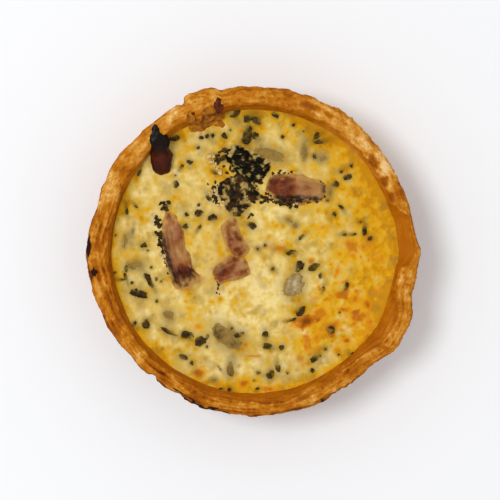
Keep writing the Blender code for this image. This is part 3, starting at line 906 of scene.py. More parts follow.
def custard_paint(disc, shape):
    points = points_of(disc)
    x, y = points[:, 0], points[:, 1]
    flat = points * np.array([1, 1, 0])
    blotches = clouds(flat, 6.5 * MM, 8, 3)
    small = clouds(flat, 2.4 * MM, 9, 3)
    fine = clouds(flat, 1.1 * MM, 13, 2)
    ragged = 0.55 * small + 0.25 * blotches
    # Streaks drawn out the way the custard was poured.
    turn = math.radians(STREAK_TURN)
    drawn = np.stack([
        (flat[:, 0] * math.cos(turn) + flat[:, 1] * math.sin(turn)) / 3.2,
        flat[:, 1] * math.cos(turn) - flat[:, 0] * math.sin(turn),
        flat[:, 2],
    ], axis=1)
    streaks = clouds(drawn, 2.2 * MM, 14, 3)
    yellow_spots = gather(points, sprinkle(300, 51, 0.9, 2.6, 6), 2.0)
    cream_spots = gather(points, sprinkle(150, 51, 1.2, 3.4, 7), 2.0)
    tone = 0.4 + 0.3 * blotches + 0.2 * small + 0.12 * fine + 0.16 * streaks
    tone += 0.38 * yellow_spots - 0.26 * cream_spots
    for place in GOLDEN:
        tone += spots(x, y, [place], 2.0, 0.3 * blotches)
    for place in CREAMY:
        tone -= spots(x, y, [place], 2.0, ragged)
    tone += 0.15 * shape["pits"] - 0.16 * shape["wrinkles"] + 0.3 * shape["edge"] - 0.08 * shape["curds"]
    browned = spots(x, y, BROWNED, 2.0, ragged)
    # The browned skin breaks up into soft blobs round paler bubbles.
    blobs = step(-0.15, 0.45, clouds(flat, 4.4 * MM, 10, 2) + 0.25 * small)
    bubbles = gather(points, sprinkle(110, 50, 1.6, 3.6, 16), 3.0)
    region = np.clip(spots(x, y, BROWNED_REGIONS, 3.0, ragged), 0, 1)
    browned = np.maximum(browned, region * (0.18 + 0.62 * blobs))
    browned *= 1 - 0.75 * bubbles * region
    tone -= 0.3 * bubbles * region
    browned += 0.25 * shape["edge"] ** 3 * step(-0.1, 0.5, small)
    herb_halo = gather(points, HERB_HALOS, 2.0)
    paint(disc, "tone", tone)
    paint(disc, "browned", browned)
    haze = 0.3 * step(0.05, 0.6, clouds(flat, 4.8 * MM, 17, 2)) * (1 - region)
    grey = np.maximum(spots(x, y, GREYED, 2.4, 0.6 * ragged), haze)
    paint(disc, "grey", np.maximum(grey, spots(x, y, SLICE_HALOS, 3.0, 0.3 * ragged)))
    paint(disc, "herb", np.maximum(spots(x, y, GREENED, 2.4, ragged), herb_halo))
    paint(disc, "meat", spots(x, y, REDDENED, 2.0, ragged))


def make_custard(material):
    disc = custard_blank()
    shape = custard_shape(disc)
    custard_paint(disc, shape)
    disc.data.shade_smooth()
    disc.data.materials.append(material)
    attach(disc, "root")
    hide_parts("custard")
    return disc


# ------------------------------------------------------------------------------------------------
# Bacon and mushroom.
# name: length, width, thickness, turn, bend, taper, pitch, seat, in mm and degrees. Middles come from the
# model. `seat` lowers a piece into the custard.
PIECES = {
    "bacon_long": (29, 9.0, 4.4, -76, 0.3, 0.14, 0, -0.3),
    "bacon_thick": (22.8, 11.0, 4.8, -3, -0.6, -0.1, 0, -0.3),
    "bacon_curl": (15.6, 7.6, 4.2, -66, 1.2, 0.05, 0, -0.3),
    "bacon_nub": (13.0, 8.8, 4.2, 24, -0.5, 0.12, 0, -0.25),
    "bacon_charred": (18.4, 7.8, 4.6, 100, 0.5, 0.0, 25, -1.1),
    "mushroom_cap": (12.4, 11.4, 4.8, 30, 0.0, 0.0, 0, -0.4),
    "mushroom_charred": (15.2, 7.8, 3.8, -24, 0.8, 0.1, 0, -0.4),
    "mushroom_slice": (15.0, 8.2, 3.2, -38, 0.8, 0.1, 0, -0.1),
    "mushroom_sliver": (14.0, 5.4, 2.8, -18, -0.8, 0.1, 0, -0.1),
    "mushroom_stalk": (9.8, 7.4, 3.0, 75, 0.3, -0.1, 0, -0.05),
}


def piece_place(node):
    low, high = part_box(node)
    return (Vector(low) + Vector(high)) / 2


def round_pieces(grow, amount):
    """An oval round each piece, `grow` mm longer and wider than it."""
    made = []
    for node, spec in PIECES.items():
        at = piece_place(node) / MM
        made.append((at.x, at.y, spec[0] + grow, spec[1] + grow, spec[3], amount))
    return made


PIECE_MOUNDS = round_pieces(3.2, 0.55)
PIECE_SEATS = round_pieces(-1.5, 1.0)


def block(name, node, rounding=0.55, cuts=5, levels=2):
    """A cube subdivided, rounded, tapered and bent to the node's sizes, with the masks 'along' and
    'across' kept for its fibres. Returns it with each point's place in its own length,
    width and thickness, from -1 to 1."""
    length, width, thickness, turn, bend, taper, pitch, seat = PIECES[node]
    deselect()
    bpy.ops.mesh.primitive_cube_add(size=2, location=(0, 0, 0))
    made = bpy.context.active_object
    made.name = name
    edit(made)
    bpy.ops.mesh.select_all(action="SELECT")
    bpy.ops.mesh.subdivide(number_cuts=cuts)
    leave_edit()
    subdivide_smoothly(made, levels)
    cube = points_of(made)
    cube /= np.abs(cube).max(axis=0)
    ball = cube / np.linalg.norm(cube, axis=1)[:, None]
    own = cube * (1 - rounding) + ball * rounding * 1.1
    points = own * np.array([length, width, thickness]) * MM / 2
    points[:, 1] *= 1 + taper * own[:, 0]
    points[:, 1] += bend * MM * own[:, 0] ** 2
    move_points(made, points)
    for mask, values in (("along", own[:, 0]), ("across", own[:, 1])):
        held = made.data.attributes.new(mask, "FLOAT", "POINT")
        held.data.foreach_set("value", values.astype(np.float32))
    return made, own


def paint_veil(made, custard, low, high, smears=0.0):
    """Marks how much custard clings: all below `low` mm above the custard, and none above `high` mm,
    with smears of it higher up."""
    above = np.array([z - top_at(custard, x, y) for x, y, z in points_of(made).tolist()])
    patchy = 0.5 * clouds(points_of(made), 1.6 * MM, 91, 2)
    film = 1 - step(low, high, above / MM + patchy * (high - low))
    dabs = smears * step(0.12, 0.4, clouds(points_of(made), 2.6 * MM, 92, 2))
    paint(made, "veil", np.maximum(film, dabs))


def lay(made, node, material, custard, film=(0.1, 0.8)):
    """Turns a piece to its place in the custard and hands it to the frame."""
    length, width, thickness, turn, bend, taper, pitch, seat = PIECES[node]
    at = piece_place(node) - Vector((0, 0, seat * MM))
    turned = Matrix.Translation(at) @ Matrix.Rotation(math.radians(turn), 4, "Z")
    turned = turned @ Matrix.Rotation(math.radians(-pitch), 4, "Y")
    made.data.transform(turned)
    paint_veil(made, custard, *film)
    made.data.shade_smooth()
    made.data.materials.append(material)
    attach(made, "root")
    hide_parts(node)


def make_bacon_long(material, custard):
    made, own = block("bacon_strip_long", "bacon_long", 0.65)
    points = points_of(made)
    normals = normals_of(made)
    along, across = own[:, 0], own[:, 1]
    stretched = own * np.array([1.2, 4.5, 2.0])
    fibres = clouds(stretched, 1.0, 21, 3)
    lumps = clouds(points, 4 * MM, 22, 2)
    # A spur at the lower end, and a narrow upper end.
    spur = np.exp(-(((along - 0.78) / 0.16) ** 2)) * np.clip(across, 0, 1)
    points[:, 1] += 2.2 * MM * spur
    dents = clouds(points, 2.0 * MM, 25, 2)
    points += normals * ((0.3 * fibres + 0.7 * lumps + 0.25 * dents) * MM)[:, None]
    move_points(made, points)
    herby = step(0.35, 0.8, -across + 0.25 * fibres)
    herby = herby * step(-0.9, -0.4, 0.55 - along) * step(-0.75, -0.4, along + 0.1)
    paint(made, "char", herby * step(-0.3, 0.25, clouds(points, 1.1 * MM, 23, 2) + 0.2))
    paint(made, "cooked", 0.36 + 0.55 * step(0.2, 0.6, along) + 0.2 * lumps)
    paint(made, "fat", 0.35 * step(0.1, 0.6, clouds(stretched, 1.3, 24, 2)) * (1 - step(0.1, 0.4, along)))
    lay(made, "bacon_long", material, custard, (0.1, 1.3))


def make_bacon_thick(material, custard):
    made, own = block("bacon_piece_thick", "bacon_thick", 0.78)
    points = points_of(made)
    normals = normals_of(made)
    along, across = own[:, 0], own[:, 1]
    stretched = own * np.array([2.0, 3.4, 2.0])
    fibres = clouds(stretched, 1.0, 31, 3)
    lumps = clouds(points, 4 * MM, 32, 2)
    dents = clouds(points, 2.2 * MM, 35, 2)
    points += normals * ((0.3 * fibres + 0.8 * lumps + 0.3 * dents) * MM)[:, None]
    edge = step(-0.35, -0.62, across + 0.12 * lumps)
    crust = edge * step(-0.35, 0.2, clouds(points, 1.2 * MM, 33, 2) + 0.25)
    points += normals * (0.35 * crust * clouds(points, 0.8 * MM, 34, 2) * MM)[:, None]
    move_points(made, points)
    tip = np.exp(-(((along - 0.86) / 0.09) ** 2)) * step(-0.5, -0.1, across)
    paint(made, "char", np.maximum(crust, 0.75 * tip))
    paint(made, "cooked", 0.68 - 0.5 * step(-0.35, 0.35, along) + 0.3 * lumps)
    fatty_end = 0.75 * step(0.02, 0.6, along + 0.5 * fibres)
    paint(made, "fat", fatty_end + 0.45 * step(0.45, 0.8, across + 0.2 * fibres))
    lay(made, "bacon_thick", material, custard, (0.1, 1.2))


def make_bacon_small(name, node, seed, material, custard):
    made, own = block(name, node, 0.7, cuts=5)
    points = points_of(made)
    normals = normals_of(made)
    stretched = own * np.array([1.2, 3.0, 2.0])
    fibres = clouds(stretched, 1.0, seed, 3)
    lumps = clouds(points, 4 * MM, seed + 1, 2)
    small = clouds(points, 1.8 * MM, seed + 4, 2)
    points += normals * ((0.2 * fibres + 0.6 * lumps + 0.12 * small) * MM)[:, None]
    move_points(made, points)
    paint(made, "char", 0.35 * step(0.3, 0.6, clouds(points, 2.6 * MM, seed + 2, 2)))
    paint(made, "cooked", 0.42 + 0.5 * lumps + 0.25 * small)
    paint(made, "fat", 0.45 * step(0.0, 0.6, clouds(stretched, 1.5, seed + 3, 2)))
    lay(made, node, material, custard, (0.1, 1.4))


def make_bacon_charred(material, custard):
    made, own = block("bacon_piece_charred", "bacon_charred", 0.85)
    points = points_of(made)
    normals = normals_of(made)
    along = own[:, 0]
    lumps = clouds(points, 3.4 * MM, 51, 2)
    creases = clouds(own * np.array([1.2, 3.0, 2.0]), 1.0, 52, 3)
    points += normals * ((0.5 * lumps + 0.3 * creases) * MM)[:, None]
    waist = np.exp(-(((along - 0.02) / 0.2) ** 2))
    points[:, 1] *= (1 - 0.2 * waist) * (1 - 0.45 * step(0.35, 1.0, along))
    points[:, 2] *= 1 - 0.35 * step(0.3, 1.0, along)
    move_points(made, points)
    paint(made, "char", step(-0.1, 0.3, along + 0.15 * lumps))
    paint(made, "cooked", 0.55 + 0.3 * lumps + 0.2 * along)
    paint(made, "fat", np.zeros(len(points)))
    lay(made, "bacon_charred", material, custard, (-0.3, 0.1))


def make_mushroom(name, node, material, custard, seed, rough, cooked, crumple, rounding, film):
    made, _ = block(name, node, rounding, cuts=5)
    points = points_of(made)
    normals = normals_of(made)
    lumps = clouds(points, 3.2 * MM, seed, 2)
    creases = 1 - 2 * np.abs(clouds(points, 2.0 * MM, seed + 1, 2))
    fine = clouds(points, 0.9 * MM, seed + 2, 2)
    points += normals * ((rough * lumps + 0.35 * crumple * creases + 0.15 * crumple * fine) * MM)[:, None]
    move_points(made, points)
    paint(made, "cooked", cooked + 0.35 * creases + 0.25 * lumps)
    lay(made, node, material, custard, film)


# ------------------------------------------------------------------------------------------------
# Herbs, chopped fine: (x, y, length, width, turn), in mm and degrees.
BLACK_LEAVES = (
    (-28.7, 41.3, 3.4, 2.6, 10), (-23.2, 32.7, 2.4, 1.8, -20), (-10.4, 36.9, 2.4, 2.2, 0),
    (-10.7, 33.7, 3.2, 2.5, 20), (-14.5, 28.9, 2.9, 1.1, -35), (8.0, 49.6, 2.6, 1.8, -30),
    (34.1, 27.1, 3.0, 2.0, 20), (29.8, 24.4, 2.3, 2.1, 0), (-28.3, 24.4, 2.6, 2.1, 90),
    (-19.7, 13.9, 3.0, 2.6, 0), (-14.9, 12.2, 3.3, 2.5, 0), (-6.1, 13.9, 3.3, 2.3, 0),
    (-0.7, 9.2, 3.3, 2.7, -20), (32.3, 15.4, 4.0, 1.3, -50), (40.3, 8.4, 5.0, 1.5, 88),
    (-39.1, -26.3, 3.2, 2.6, 90), (-43.5, -26.4, 2.5, 1.2, 50), (-30.6, -29.2, 6.1, 1.7, -25),
    (-24.0, -30.6, 4.3, 2.8, -20), (-19.4, -32.7, 4.0, 3.0, 30), (-17.0, -31.2, 2.4, 1.2, 60),
    (-5.2, -30.3, 3.6, 1.6, 20), (16.5, -5.5, 4.0, 3.0, 45), (24.4, -8.8, 2.3, 1.4, 80),
    (25.2, -13.9, 2.5, 1.1, 70), (17.0, -21.6, 4.2, 2.6, 50), (13.0, -25.0, 5.0, 1.0, 12),
    (28.2, -28.5, 2.9, 2.2, 90), (33.6, -12.7, 2.9, 1.4, 60), (-12.1, -42.8, 2.9, 0.8, -55),
    (35.7, -37.8, 2.5, 1.6, 40), (-37.2, -11.8, 8.7, 1.6, -61), (-38.6, -9.4, 3.4, 2.0, -50),
    (-41.8, -15.2, 6.0, 3.0, -15), (-40.6, -16.0, 4.6, 1.2, -20), (-43.2, -14.4, 2.6, 1.4, 40),
    (-11.6, -50.1, 2.2, 1.2, 0), (1.2, -50.2, 2.2, 1.1, 45), (0.6, 41.9, 2.6, 2.2, 70),
    (-2.6, 40.4, 3.4, 2.6, 0),
)
GREEN_LEAVES = (
    (-41.3, 29.6, 5.0, 1.2, 70), (1.1, 47.4, 3.6, 2.5, -30), (-46.2, 15.8, 5.0, 1.1, 95),
    (-43.3, 17.0, 3.6, 1.1, -45), (-44.0, 7.5, 3.2, 1.0, 75), (-16.7, 20.1, 4.3, 1.6, -60),
    (-7.7, 7.5, 2.5, 1.7, 20), (17.7, 5.3, 3.8, 1.3, 35), (14.0, -0.6, 4.4, 1.9, 0),
    (32.4, 6.2, 2.9, 1.3, 0), (-46.2, -6.4, 2.5, 1.4, 90), (-48.7, -10.3, 4.3, 1.0, 0),
    (-46.0, -10.5, 5.4, 1.1, -70), (-25.6, -38.4, 3.6, 2.0, -20), (22.0, -5.7, 4.3, 2.4, 25),
    (4.3, -30.9, 3.8, 2.0, -80), (5.7, -34.8, 4.8, 2.3, -20), (8.7, -41.7, 4.3, 1.6, -75),
    (6.2, -44.6, 3.8, 2.6, 50), (22.5, -38.7, 4.4, 2.4, 35), (-26.5, 30.2, 3.2, 1.2, 55),
    (35.6, 6.2, 3.2, 1.0, 5), (-20.1, 7.9, 3.6, 1.0, 60), (-2.0, 44.4, 3.0, 2.2, 40),
    (-6.8, 50.2, 4.2, 2.6, 30), (-1.8, 48.6, 4.2, 3.2, 40), (-2.6, 42.6, 4.6, 3.0, 80),
    (22.2, 41.0, 5.2, 1.5, 60), (25.0, 40.0, 6.0, 1.6, 12), (23.6, 42.0, 4.2, 1.5, 35),
)
BLACK_CRUMBS = (
    (-19.0, 41.3, 1.8), (-17.0, 41.8, 1.8), (-14.8, 42.0, 1.8), (-10.5, 41.8, 2.2), (-14.1, 34.4, 2.2),
    (14.3, 45.9, 1.4), (10.5, 41.5, 1.5), (18.1, 43.6, 0.8), (35.5, 31.0, 1.5), (32.1, 28.8, 1.5),
    (-50.1, 5.8, 0.8), (-19.9, 16.9, 1.4), (-24.4, 13.5, 1.8), (26.8, 18.5, 1.1), (-50.3, -7.7, 1.1),
    (-37.2, -5.9, 1.1), (-16.9, -34.7, 1.1), (-7.8, -27.9, 1.1), (-8.6, -50.1, 1.7), (0.1, -46.9, 0.8),
    (31.2, -22.1, 0.8), (21.3, -43.4, 1.8), (31.0, -37.5, 1.1), (-4.8, -8.7, 1.0), (-9.0, 26.0, 1.0),
)
OLIVE_CRUMBS = (
    (-8.5, 44.1, 1.1), (-20.0, 37.6, 1.4), (22.2, 34.6, 1.7), (-28.3, 27.5, 1.1), (-31.9, 16.2, 2.2),
    (-40.0, 2.2, 2.4), (-24.8, 9.0, 2.2), (-10.0, 21.7, 1.4), (29.5, 13.5, 1.8), (38.8, 10.7, 1.1),
    (42.5, 4.9, 2.0), (-35.2, -18.1, 1.3), (-22.5, -40.5, 1.8), (1.7, -44.0, 1.4), (10.1, -35.0, 2.0),
    (12.3, -44.2, 1.1), (26.1, -35.4, 1.4), (1.7, 0.8, 1.6), (6.8, -6.2, 1.6), (-44.1, -11.5, 1.4),
    (-35.4, -10.1, 1.4), (-33.5, -11.0, 1.1), (-38.5, 0.3, 1.1), (4.3, 2.3, 1.4),
)
HERB_HALOS = (
    [(x, y, length * 1.5, width * 1.7, turn, 0.6)
     for x, y, length, width, turn in BLACK_LEAVES + GREEN_LEAVES]
    + [(x, y, size * 1.7, size * 1.7, 0, 0.6) for x, y, size in BLACK_CRUMBS]
    + [(x, y, size * 1.9, size * 1.9, 0, 0.55) for x, y, size in OLIVE_CRUMBS]
)


def strewn(start, end, count, spread, low, high, seed):
    """Small crumbs strewn along a line, as (x, y, length, width, turn) in mm and degrees."""
    draw = random.Random(seed)
    made = []
    for _ in range(count):
        share = draw.random()
        x = start[0] + share * (end[0] - start[0]) + draw.gauss(0, spread)
        y = start[1] + share * (end[1] - start[1]) + draw.gauss(0, spread)
        size = draw.uniform(low, high)
        made.append((x, y, size, size * draw.uniform(0.5, 0.95), draw.uniform(0, 180)))
    return made


# Herbs caught along the edges of the meat and the mushrooms.
CAUGHT_HERBS = (
    strewn((-34.9, 12.0), (-33.5, 2.0), 30, 0.6, 0.8, 2.0, 11)
    + strewn((-33.2, 1.0), (-31.0, -8.0), 16, 0.3, 0.6, 1.3, 12)
    + strewn((-33.0, 16.0), (-31.0, 18.5), 6, 0.8, 1.0, 2.0, 13)
    + strewn((3.0, 19.6), (14.0, 17.2), 34, 0.8, 0.8, 2.2, 14)
    + strewn((14.0, 17.4), (25.0, 19.8), 18, 0.7, 0.7, 1.8, 15)
    + strewn((25.2, 20.0), (25.0, 25.2), 10, 0.4, 0.8, 1.6, 16)
    + strewn((6.0, 28.6), (14.0, 28.4), 10, 0.4, 0.5, 1.2, 17)
    + strewn((-14.6, 25.0), (-12.6, 17.0), 16, 1.0, 0.6, 1.8, 18)
    + strewn((-13.0, 34.6), (-8.6, 27.6), 18, 1.2, 0.7, 2.0, 19)
    + strewn((0.4, 22.6), (3.0, 28.0), 12, 0.7, 1.0, 2.4, 20)
    + strewn((-8.0, 16.0), (-1.6, 14.2), 12, 0.9, 0.7, 1.8, 21)
    + strewn((-8.6, 33.6), (3.6, 33.2), 12, 0.7, 0.8, 1.8, 22)
    + strewn((-13.2, -10.6), (-13.0, -15.6), 8, 0.3, 0.5, 1.2, 23)
)
PALE_CRUMBS = (
    strewn((-17.0, 34.0), (-12.0, 30.0), 16, 1.2, 0.8, 1.8, 31)
    + strewn((-14.6, 22.0), (-11.0, 15.6), 16, 0.9, 0.7, 1.6, 32)
    + strewn((0.0, 25.4), (1.4, 28.2), 6, 0.5, 1.6, 2.8, 33)
    + strewn((-33.6, 0.0), (-31.0, -3.0), 8, 0.5, 0.8, 1.6, 34)
    + strewn((5.0, 18.6), (24.0, 18.4), 14, 0.7, 0.6, 1.3, 35)
    + strewn((-4.0, 28.0), (3.0, 31.0), 5, 0.8, 0.8, 1.5, 36)
)
MUSHROOM_BITS = (
    (18.2, 36.5, 3.4, 7.4, 0), (24.7, 33.7, 3.6, 3.0, -20), (22.2, 34.6, 1.8, 1.4, 0),
    (15.2, 9.6, 3.2, 2.2, 60), (-30.8, -23.6, 5.0, 5.8, 20), (-46.5, 4.0, 6.8, 2.0, 75),
    (-8.1, -41.0, 9.0, 3.2, 82), (-14.4, -46.7, 3.4, 1.4, -10), (12.6, 11.4, 4.0, 1.6, -30),
    (-42.7, -4.9, 6.6, 4.4, 0), (27.6, 21.6, 6.0, 2.2, 84),
)


# The custard is greyed over and round the sunk mushroom.
SLICE_HALOS = [(x, y, length * 1.3, width + 2.0, turn, 0.62) for x, y, length, width, turn in MUSHROOM_BITS]
SLICE_HALOS += [place for node, place in zip(PIECES, round_pieces(2.4, 0.62)) if node in (
    "mushroom_slice", "mushroom_sliver", "mushroom_stalk")]


def leaf_blank():
    """One flake of chopped leaf: a thin flat slab a unit long, whose ragged outline and cupping come from
    shape_leaf.
    """
    deselect()
    bpy.ops.mesh.primitive_grid_add(x_subdivisions=7, y_subdivisions=4, size=1, location=(0, 0, 0))
    leaf = bpy.context.active_object
    edit(leaf)
    bpy.ops.mesh.select_all(action="SELECT")
    bpy.ops.mesh.extrude_region_move(TRANSFORM_OT_translate={"value": (0, 0, 0.3)})
    bpy.ops.mesh.select_all(action="SELECT")
    bpy.ops.mesh.normals_make_consistent(inside=False)
    leave_edit()
    return leaf


def crumb_blank(subdivisions=2):
    deselect()
    bpy.ops.mesh.primitive_ico_sphere_add(subdivisions=subdivisions, radius=0.5, location=(0, 0, 0))
    return bpy.context.active_object


def shape_leaf(points, draw):
    """Each flake is torn differently: its outline, its cupping and its twist."""
    shift = draw.uniform(0, 50)
    blunt = draw.uniform(0.25, 0.8)
    end = 1 - blunt * np.abs(points[:, 0] * 2) ** 3
    points[:, 1] *= np.clip(end, 0.2, 1) * (1 + 0.5 * clouds(points, 0.35, shift, 2))
    points[:, 0] *= 1 + 0.3 * clouds(points * np.array([0, 1, 0]), 0.3, shift + 1)
    points[:, 2] += 0.16 * clouds(points * np.array([1, 1, 0]), 0.4, shift + 2)
    points[:, 2] -= draw.uniform(0.2, 0.9) * points[:, 1] ** 2


def shape_crumb(points, draw):
    shift = draw.uniform(0, 50)
    points *= (1 + 0.7 * clouds(points, 0.4, shift, 2))[:, None]


def shape_bit(points, draw):
    shift = draw.uniform(0, 50)
    points *= (1 + 0.35 * clouds(points, 0.5, shift) + 0.2 * clouds(points, 0.16, shift + 1, 2))[:, None]


def shape_drop(points, draw):
    shift = draw.uniform(0, 50)
    points *= (1 + 0.3 * clouds(points, 0.5, shift) + 0.06 * clouds(points, 0.2, shift + 1))[:, None]


def top_at(host, x, y):
    """The height of the host's surface at a place seen from above."""
    hit, place, _, _ = host.ray_cast((x, y, 0.06), (0, 0, -1))
    return place.z if hit else CUSTARD_LEVEL


def scatter(name, blank, shape, places, host, material, seed, thickness, sunk, film=(0.0, 0.25)):
    """Copies of one blank, each with its own mesh, shape and place on the host, joined into one piece."""
    draw = random.Random(seed)
    copies = []
    for x, y, length, width, turn in places:
        copy = blank.copy()
        copy.data = blank.data.copy()
        bpy.context.scene.collection.objects.link(copy)
        points = points_of(copy)
        shape(points, draw)
        deep = thickness * min(length, width) if thickness < 1 else thickness
        points *= np.array([length, width, max(deep, 0.45)]) * MM
        tilt = Euler((draw.uniform(-0.25, 0.25), draw.uniform(-0.25, 0.25), math.radians(turn)))
        points = points @ np.array(tilt.to_matrix()).T
        points += np.array([x * MM, y * MM, top_at(host, x * MM, y * MM) - sunk * MM])
        move_points(copy, points)
        copies.append(copy)
    deselect()
    for copy in copies:
        copy.select_set(True)
    bpy.context.view_layer.objects.active = copies[0]
    bpy.ops.object.join()
    joined = bpy.context.active_object
    joined.name = name
    if film:
        paint_veil(joined, host, *film)
    joined.data.shade_smooth()
    joined.data.materials.append(material)
    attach(joined, "root")
    return joined


def make_herbs(custard, gloss):
    black = herb_material("herb_baked_black", "201408", "523c14", gloss)
    green = herb_material("herb_dark_green", "2c2006", "604c14", gloss)
    leaf = leaf_blank()
    crumb = crumb_blank()
    as_flake = [(x, y, size, size * 0.85, 40 * i) for i, (x, y, size) in enumerate(BLACK_CRUMBS)]
    as_olive = [(x, y, size, size * 0.85, 40 * i) for i, (x, y, size) in enumerate(OLIVE_CRUMBS)]
    scatter("herb_leaves_black", leaf, shape_leaf, BLACK_LEAVES, custard, black, 1, 0.55, 0.1)
    scatter("herb_leaves_green", leaf, shape_leaf, GREEN_LEAVES, custard, green, 2, 0.55, 0.16)
    scatter("herb_crumbs_black", crumb, shape_crumb, as_flake, custard, black, 3, 0.6, 0.05)
    scatter("herb_crumbs_green", crumb, shape_crumb, as_olive, custard, green, 4, 0.6, 0.12)
    scatter("herb_crumbs_caught", crumb, shape_crumb, CAUGHT_HERBS, custard, black, 5, 0.7, -0.2, (-0.1, 0.3))
    for blank in (leaf, crumb):
        bpy.data.objects.remove(blank)


def make_crumbs(custard, pale, grey):
    crumb = crumb_blank()
    paint(crumb, "cooked", np.full(len(crumb.data.vertices), 0.3))
    scatter("crumbs_pale", crumb, shape_crumb, PALE_CRUMBS, custard, pale, 6, 0.7, -0.35)
    bpy.data.objects.remove(crumb)
    bit = crumb_blank(subdivisions=4)
    paint(bit, "cooked", np.full(len(bit.data.vertices), 0.45))
    scatter("mushroom_bits", bit, shape_bit, MUSHROOM_BITS, custard, grey, 7, 2.4, 0.95, (0.0, 1.0))
    bpy.data.objects.remove(bit)


# Blisters and run butter on the rim and the inner wall: (x, y, length, width, turn).
BLISTERS = ((-12.8, 52.6, 3.8, 5.2, 10), (-20.2, 47.6, 1.8, 1.4, 20), (-21.8, 49.4, 1.4, 1.2, 60))
OOZE = (
    (-17.0, 49.0, 8.0, 4.0, 24), (-21.0, 48.0, 5.6, 3.8, 30), (-13.0, 49.8, 4.8, 4.6, 0),
    (-22.6, 48.6, 3.2, 4.6, 20), (-16.0, 50.6, 6.4, 3.0, 24),
)
POOLS = (
    (-17.0, 46.8, 8.0, 3.8, 20), (-20.8, 45.6, 5.0, 3.6, 30), (-13.2, 47.4, 4.4, 4.0, 0),
    (-18.6, 44.8, 4.0, 2.6, 30), (-11.6, 46.6, 3.0, 3.4, 0),
)


def caramel_material(name, dark, light, mottle, gloss, wet):
    made, tree, shader = new_material(name, 0.25, 0.15)
    value = use_group(tree, mottle, Blotches=1.4, Specks=0.4, Size=0.5).outputs[0]
    colour = ramp(tree, arithmetic(tree, "ADD", value, 0.5), ((0.2, dark), (0.75, light)))
    tree.links.new(colour, shader.inputs["Base Color"])
    shine = use_group(tree, gloss, Driest=wet[0], Wettest=wet[1], Patch_Size=1.2, Relief=0.8)
    tree.links.new(shine.outputs["Roughness"], shader.inputs["Roughness"])
    add_bump(tree, shader, shine.outputs["Height"], 0.05 * MM, 0.5)
    return made


def make_blisters(crust, custard, mottle, gloss):
    """Glossy blisters on the rim, and the butter that ran down the inner wall below them."""
    dark = caramel_material("blistered_skin", "2a0c04", "6e2c0a", mottle, gloss, (0.35, 0.15))
    amber = caramel_material("run_butter", "6e3002", "c07a0c", mottle, gloss, (0.4, 0.2))
    drop = crumb_blank(subdivisions=4)
    for name, places, host, material, seed, thickness, sunk in (
        ("rim_blisters", BLISTERS, crust, dark, 8, 2.2, 0.1),
        ("butter_ooze", OOZE, crust, amber, 9, 1.5, 0.0),
        ("butter_pools", POOLS, custard, amber, 10, 1.2, 0.35),
    ):
        scatter(name, drop, shape_drop, places, host, material, seed, thickness, sunk, None)
    bpy.data.objects.remove(drop)


# ------------------------------------------------------------------------------------------------
# The setting.
CAMERA_HEIGHT = 0.78
CAMERA_LENS = 150
VIEW_MIDDLE = (-1.3 * MM, 0.5 * MM)


def make_setting():
    deselect()
    bpy.ops.mesh.primitive_plane_add(size=6, location=(0, 0, 0))
    floor = bpy.context.active_object
    floor.name = "floor"
    made, _, shader = new_material("pale_floor", 0.9)
    shader.inputs["Base Color"].default_value = (0.93, 0.94, 0.96, 1)
    floor.data.materials.append(made)
    camera_data = bpy.data.cameras.new("camera")
    camera_data.lens = CAMERA_LENS
    camera_data.clip_start = 0.01
    camera = bpy.data.objects.new("camera", camera_data)
    camera.location = (*VIEW_MIDDLE, CAMERA_HEIGHT)
    bpy.context.scene.collection.objects.link(camera)
    bpy.context.scene.camera = camera


def soft_lamp(name, place, size, watts, aim=(0, 0, 0.02)):
    lamp = bpy.data.lights.new(name, "AREA")
    lamp.shape = "DISK"
    lamp.size = size
    lamp.energy = watts
    held = bpy.data.objects.new(name, lamp)
    held.location = place
    held.rotation_euler = (Vector(aim) - Vector(place)).to_track_quat("-Z", "Y").to_euler()
    bpy.context.scene.collection.objects.link(held)


KEY_LAMP_PLACE = (-0.60, 0.16, 1.5)
KEY_LAMP_SIZE = 0.55
KEY_LAMP_WATTS = 10.2
ROOM_STRENGTH = 0.68


def make_light():
    soft_lamp("key_lamp", KEY_LAMP_PLACE, KEY_LAMP_SIZE, KEY_LAMP_WATTS)
    world = bpy.data.worlds.new("pale_room")
    world.use_nodes = True
    world.node_tree.nodes["Background"].inputs["Color"].default_value = (1, 1, 1, 1)
    world.node_tree.nodes["Background"].inputs["Strength"].default_value = ROOM_STRENGTH
    bpy.context.scene.world = world
    bpy.context.scene.view_settings.view_transform = "Standard"


MEAT_COLOURS = ((0.0, "b4865a"), (0.3, "9c6438"), (0.55, "7e3c0c"), (0.8, "5e2000"), (1.0, "2c0c00"))
CHARRED_MEAT_COLOURS = ((0.0, "60240a"), (0.5, "3c1204"), (1.0, "1c0602"))
BROWN_MUSHROOM_COLOURS = ((0.0, "b0945a"), (0.28, "745a2e"), (0.55, "463010"), (1.0, "120c04"))
GREY_MUSHROOM_COLOURS = ((0.0, "a08248"), (0.35, "80622e"), (0.65, "644a26"), (1.0, "443218"))
BLACK_MUSHROOM_COLOURS = ((0.0, "4c3e1c"), (0.3, "221a0a"), (1.0, "080602"))
PALE_MUSHROOM_COLOURS = ((0.0, "e4d09c"), (0.4, "c0aa80"), (0.75, "988260"), (1.0, "705c44"))
CRUMB_COLOURS = ((0.0, "e8d49c"), (0.4, "d2b070"), (0.8, "a07a40"), (1.0, "6c4a22"))
CLEAN_FILM = "d2b064"


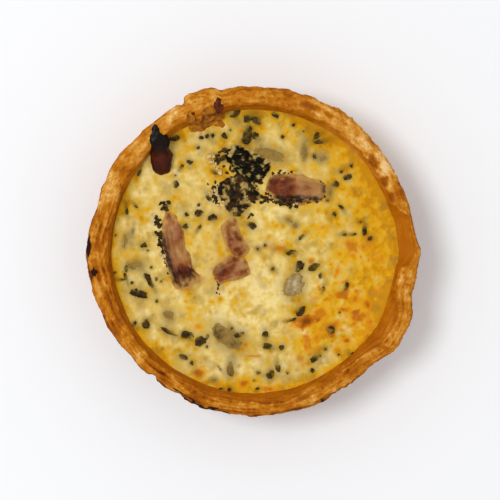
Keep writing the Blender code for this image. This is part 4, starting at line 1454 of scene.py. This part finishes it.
def main():
    mottle = make_mottle_group()
    gloss = make_gloss_group()
    make_setting()
    make_light()
    crust = make_crust(pastry_material(mottle))
    custard = make_custard(custard_material(mottle, gloss))
    meat = bacon_material("bacon_meat", MEAT_COLOURS, mottle, gloss)
    make_bacon_long(meat, custard)
    make_bacon_thick(meat, custard)
    make_bacon_small("bacon_piece_curl", "bacon_curl", 41, meat, custard)
    make_bacon_small("bacon_piece_nub", "bacon_nub", 46, meat, custard)
    charred = bacon_material(
        "bacon_charred_meat", CHARRED_MEAT_COLOURS, mottle, gloss, char="120804", wet=(0.42, 0.2),
    )
    make_bacon_charred(charred, custard)
    brown = mushroom_material("mushroom_browned", BROWN_MUSHROOM_COLOURS, mottle, gloss, film=CLEAN_FILM)
    grey = mushroom_material("mushroom_greyed", GREY_MUSHROOM_COLOURS, mottle, gloss)
    black = mushroom_material(
        "mushroom_charred_black", BLACK_MUSHROOM_COLOURS, mottle, gloss, (0.6, 0.3), "cdb064",
    )
    pale = mushroom_material("mushroom_pale", PALE_MUSHROOM_COLOURS, mottle, gloss)
    make_mushroom(
        "mushroom_cap_browned", "mushroom_cap", brown, custard, 61,
        rough=1.3, cooked=0.62, crumple=2.6, rounding=0.65, film=(-0.1, 0.8, 0.7),
    )
    make_mushroom(
        "mushroom_cap_charred", "mushroom_charred", black, custard, 64,
        rough=1.7, cooked=0.6, crumple=3.0, rounding=0.7, film=(-0.1, 0.6, 0.8),
    )
    make_mushroom(
        "mushroom_slice_long", "mushroom_slice", grey, custard, 67,
        rough=0.4, cooked=0.45, crumple=0.5, rounding=0.9, film=(0.0, 1.2),
    )
    make_mushroom(
        "mushroom_slice_thin", "mushroom_sliver", grey, custard, 70,
        rough=0.3, cooked=0.2, crumple=0.5, rounding=0.9, film=(0.1, 1.4),
    )
    make_mushroom(
        "mushroom_stalk_piece", "mushroom_stalk", pale, custard, 73,
        rough=0.5, cooked=0.35, crumple=1.0, rounding=0.85, film=(0.0, 1.2),
    )
    crumb_colour = mushroom_material("crumb_pale", CRUMB_COLOURS, mottle, gloss, film=CLEAN_FILM)
    make_crumbs(custard, crumb_colour, grey)
    make_blisters(crust, custard, mottle, gloss)
    make_herbs(custard, gloss)


main()
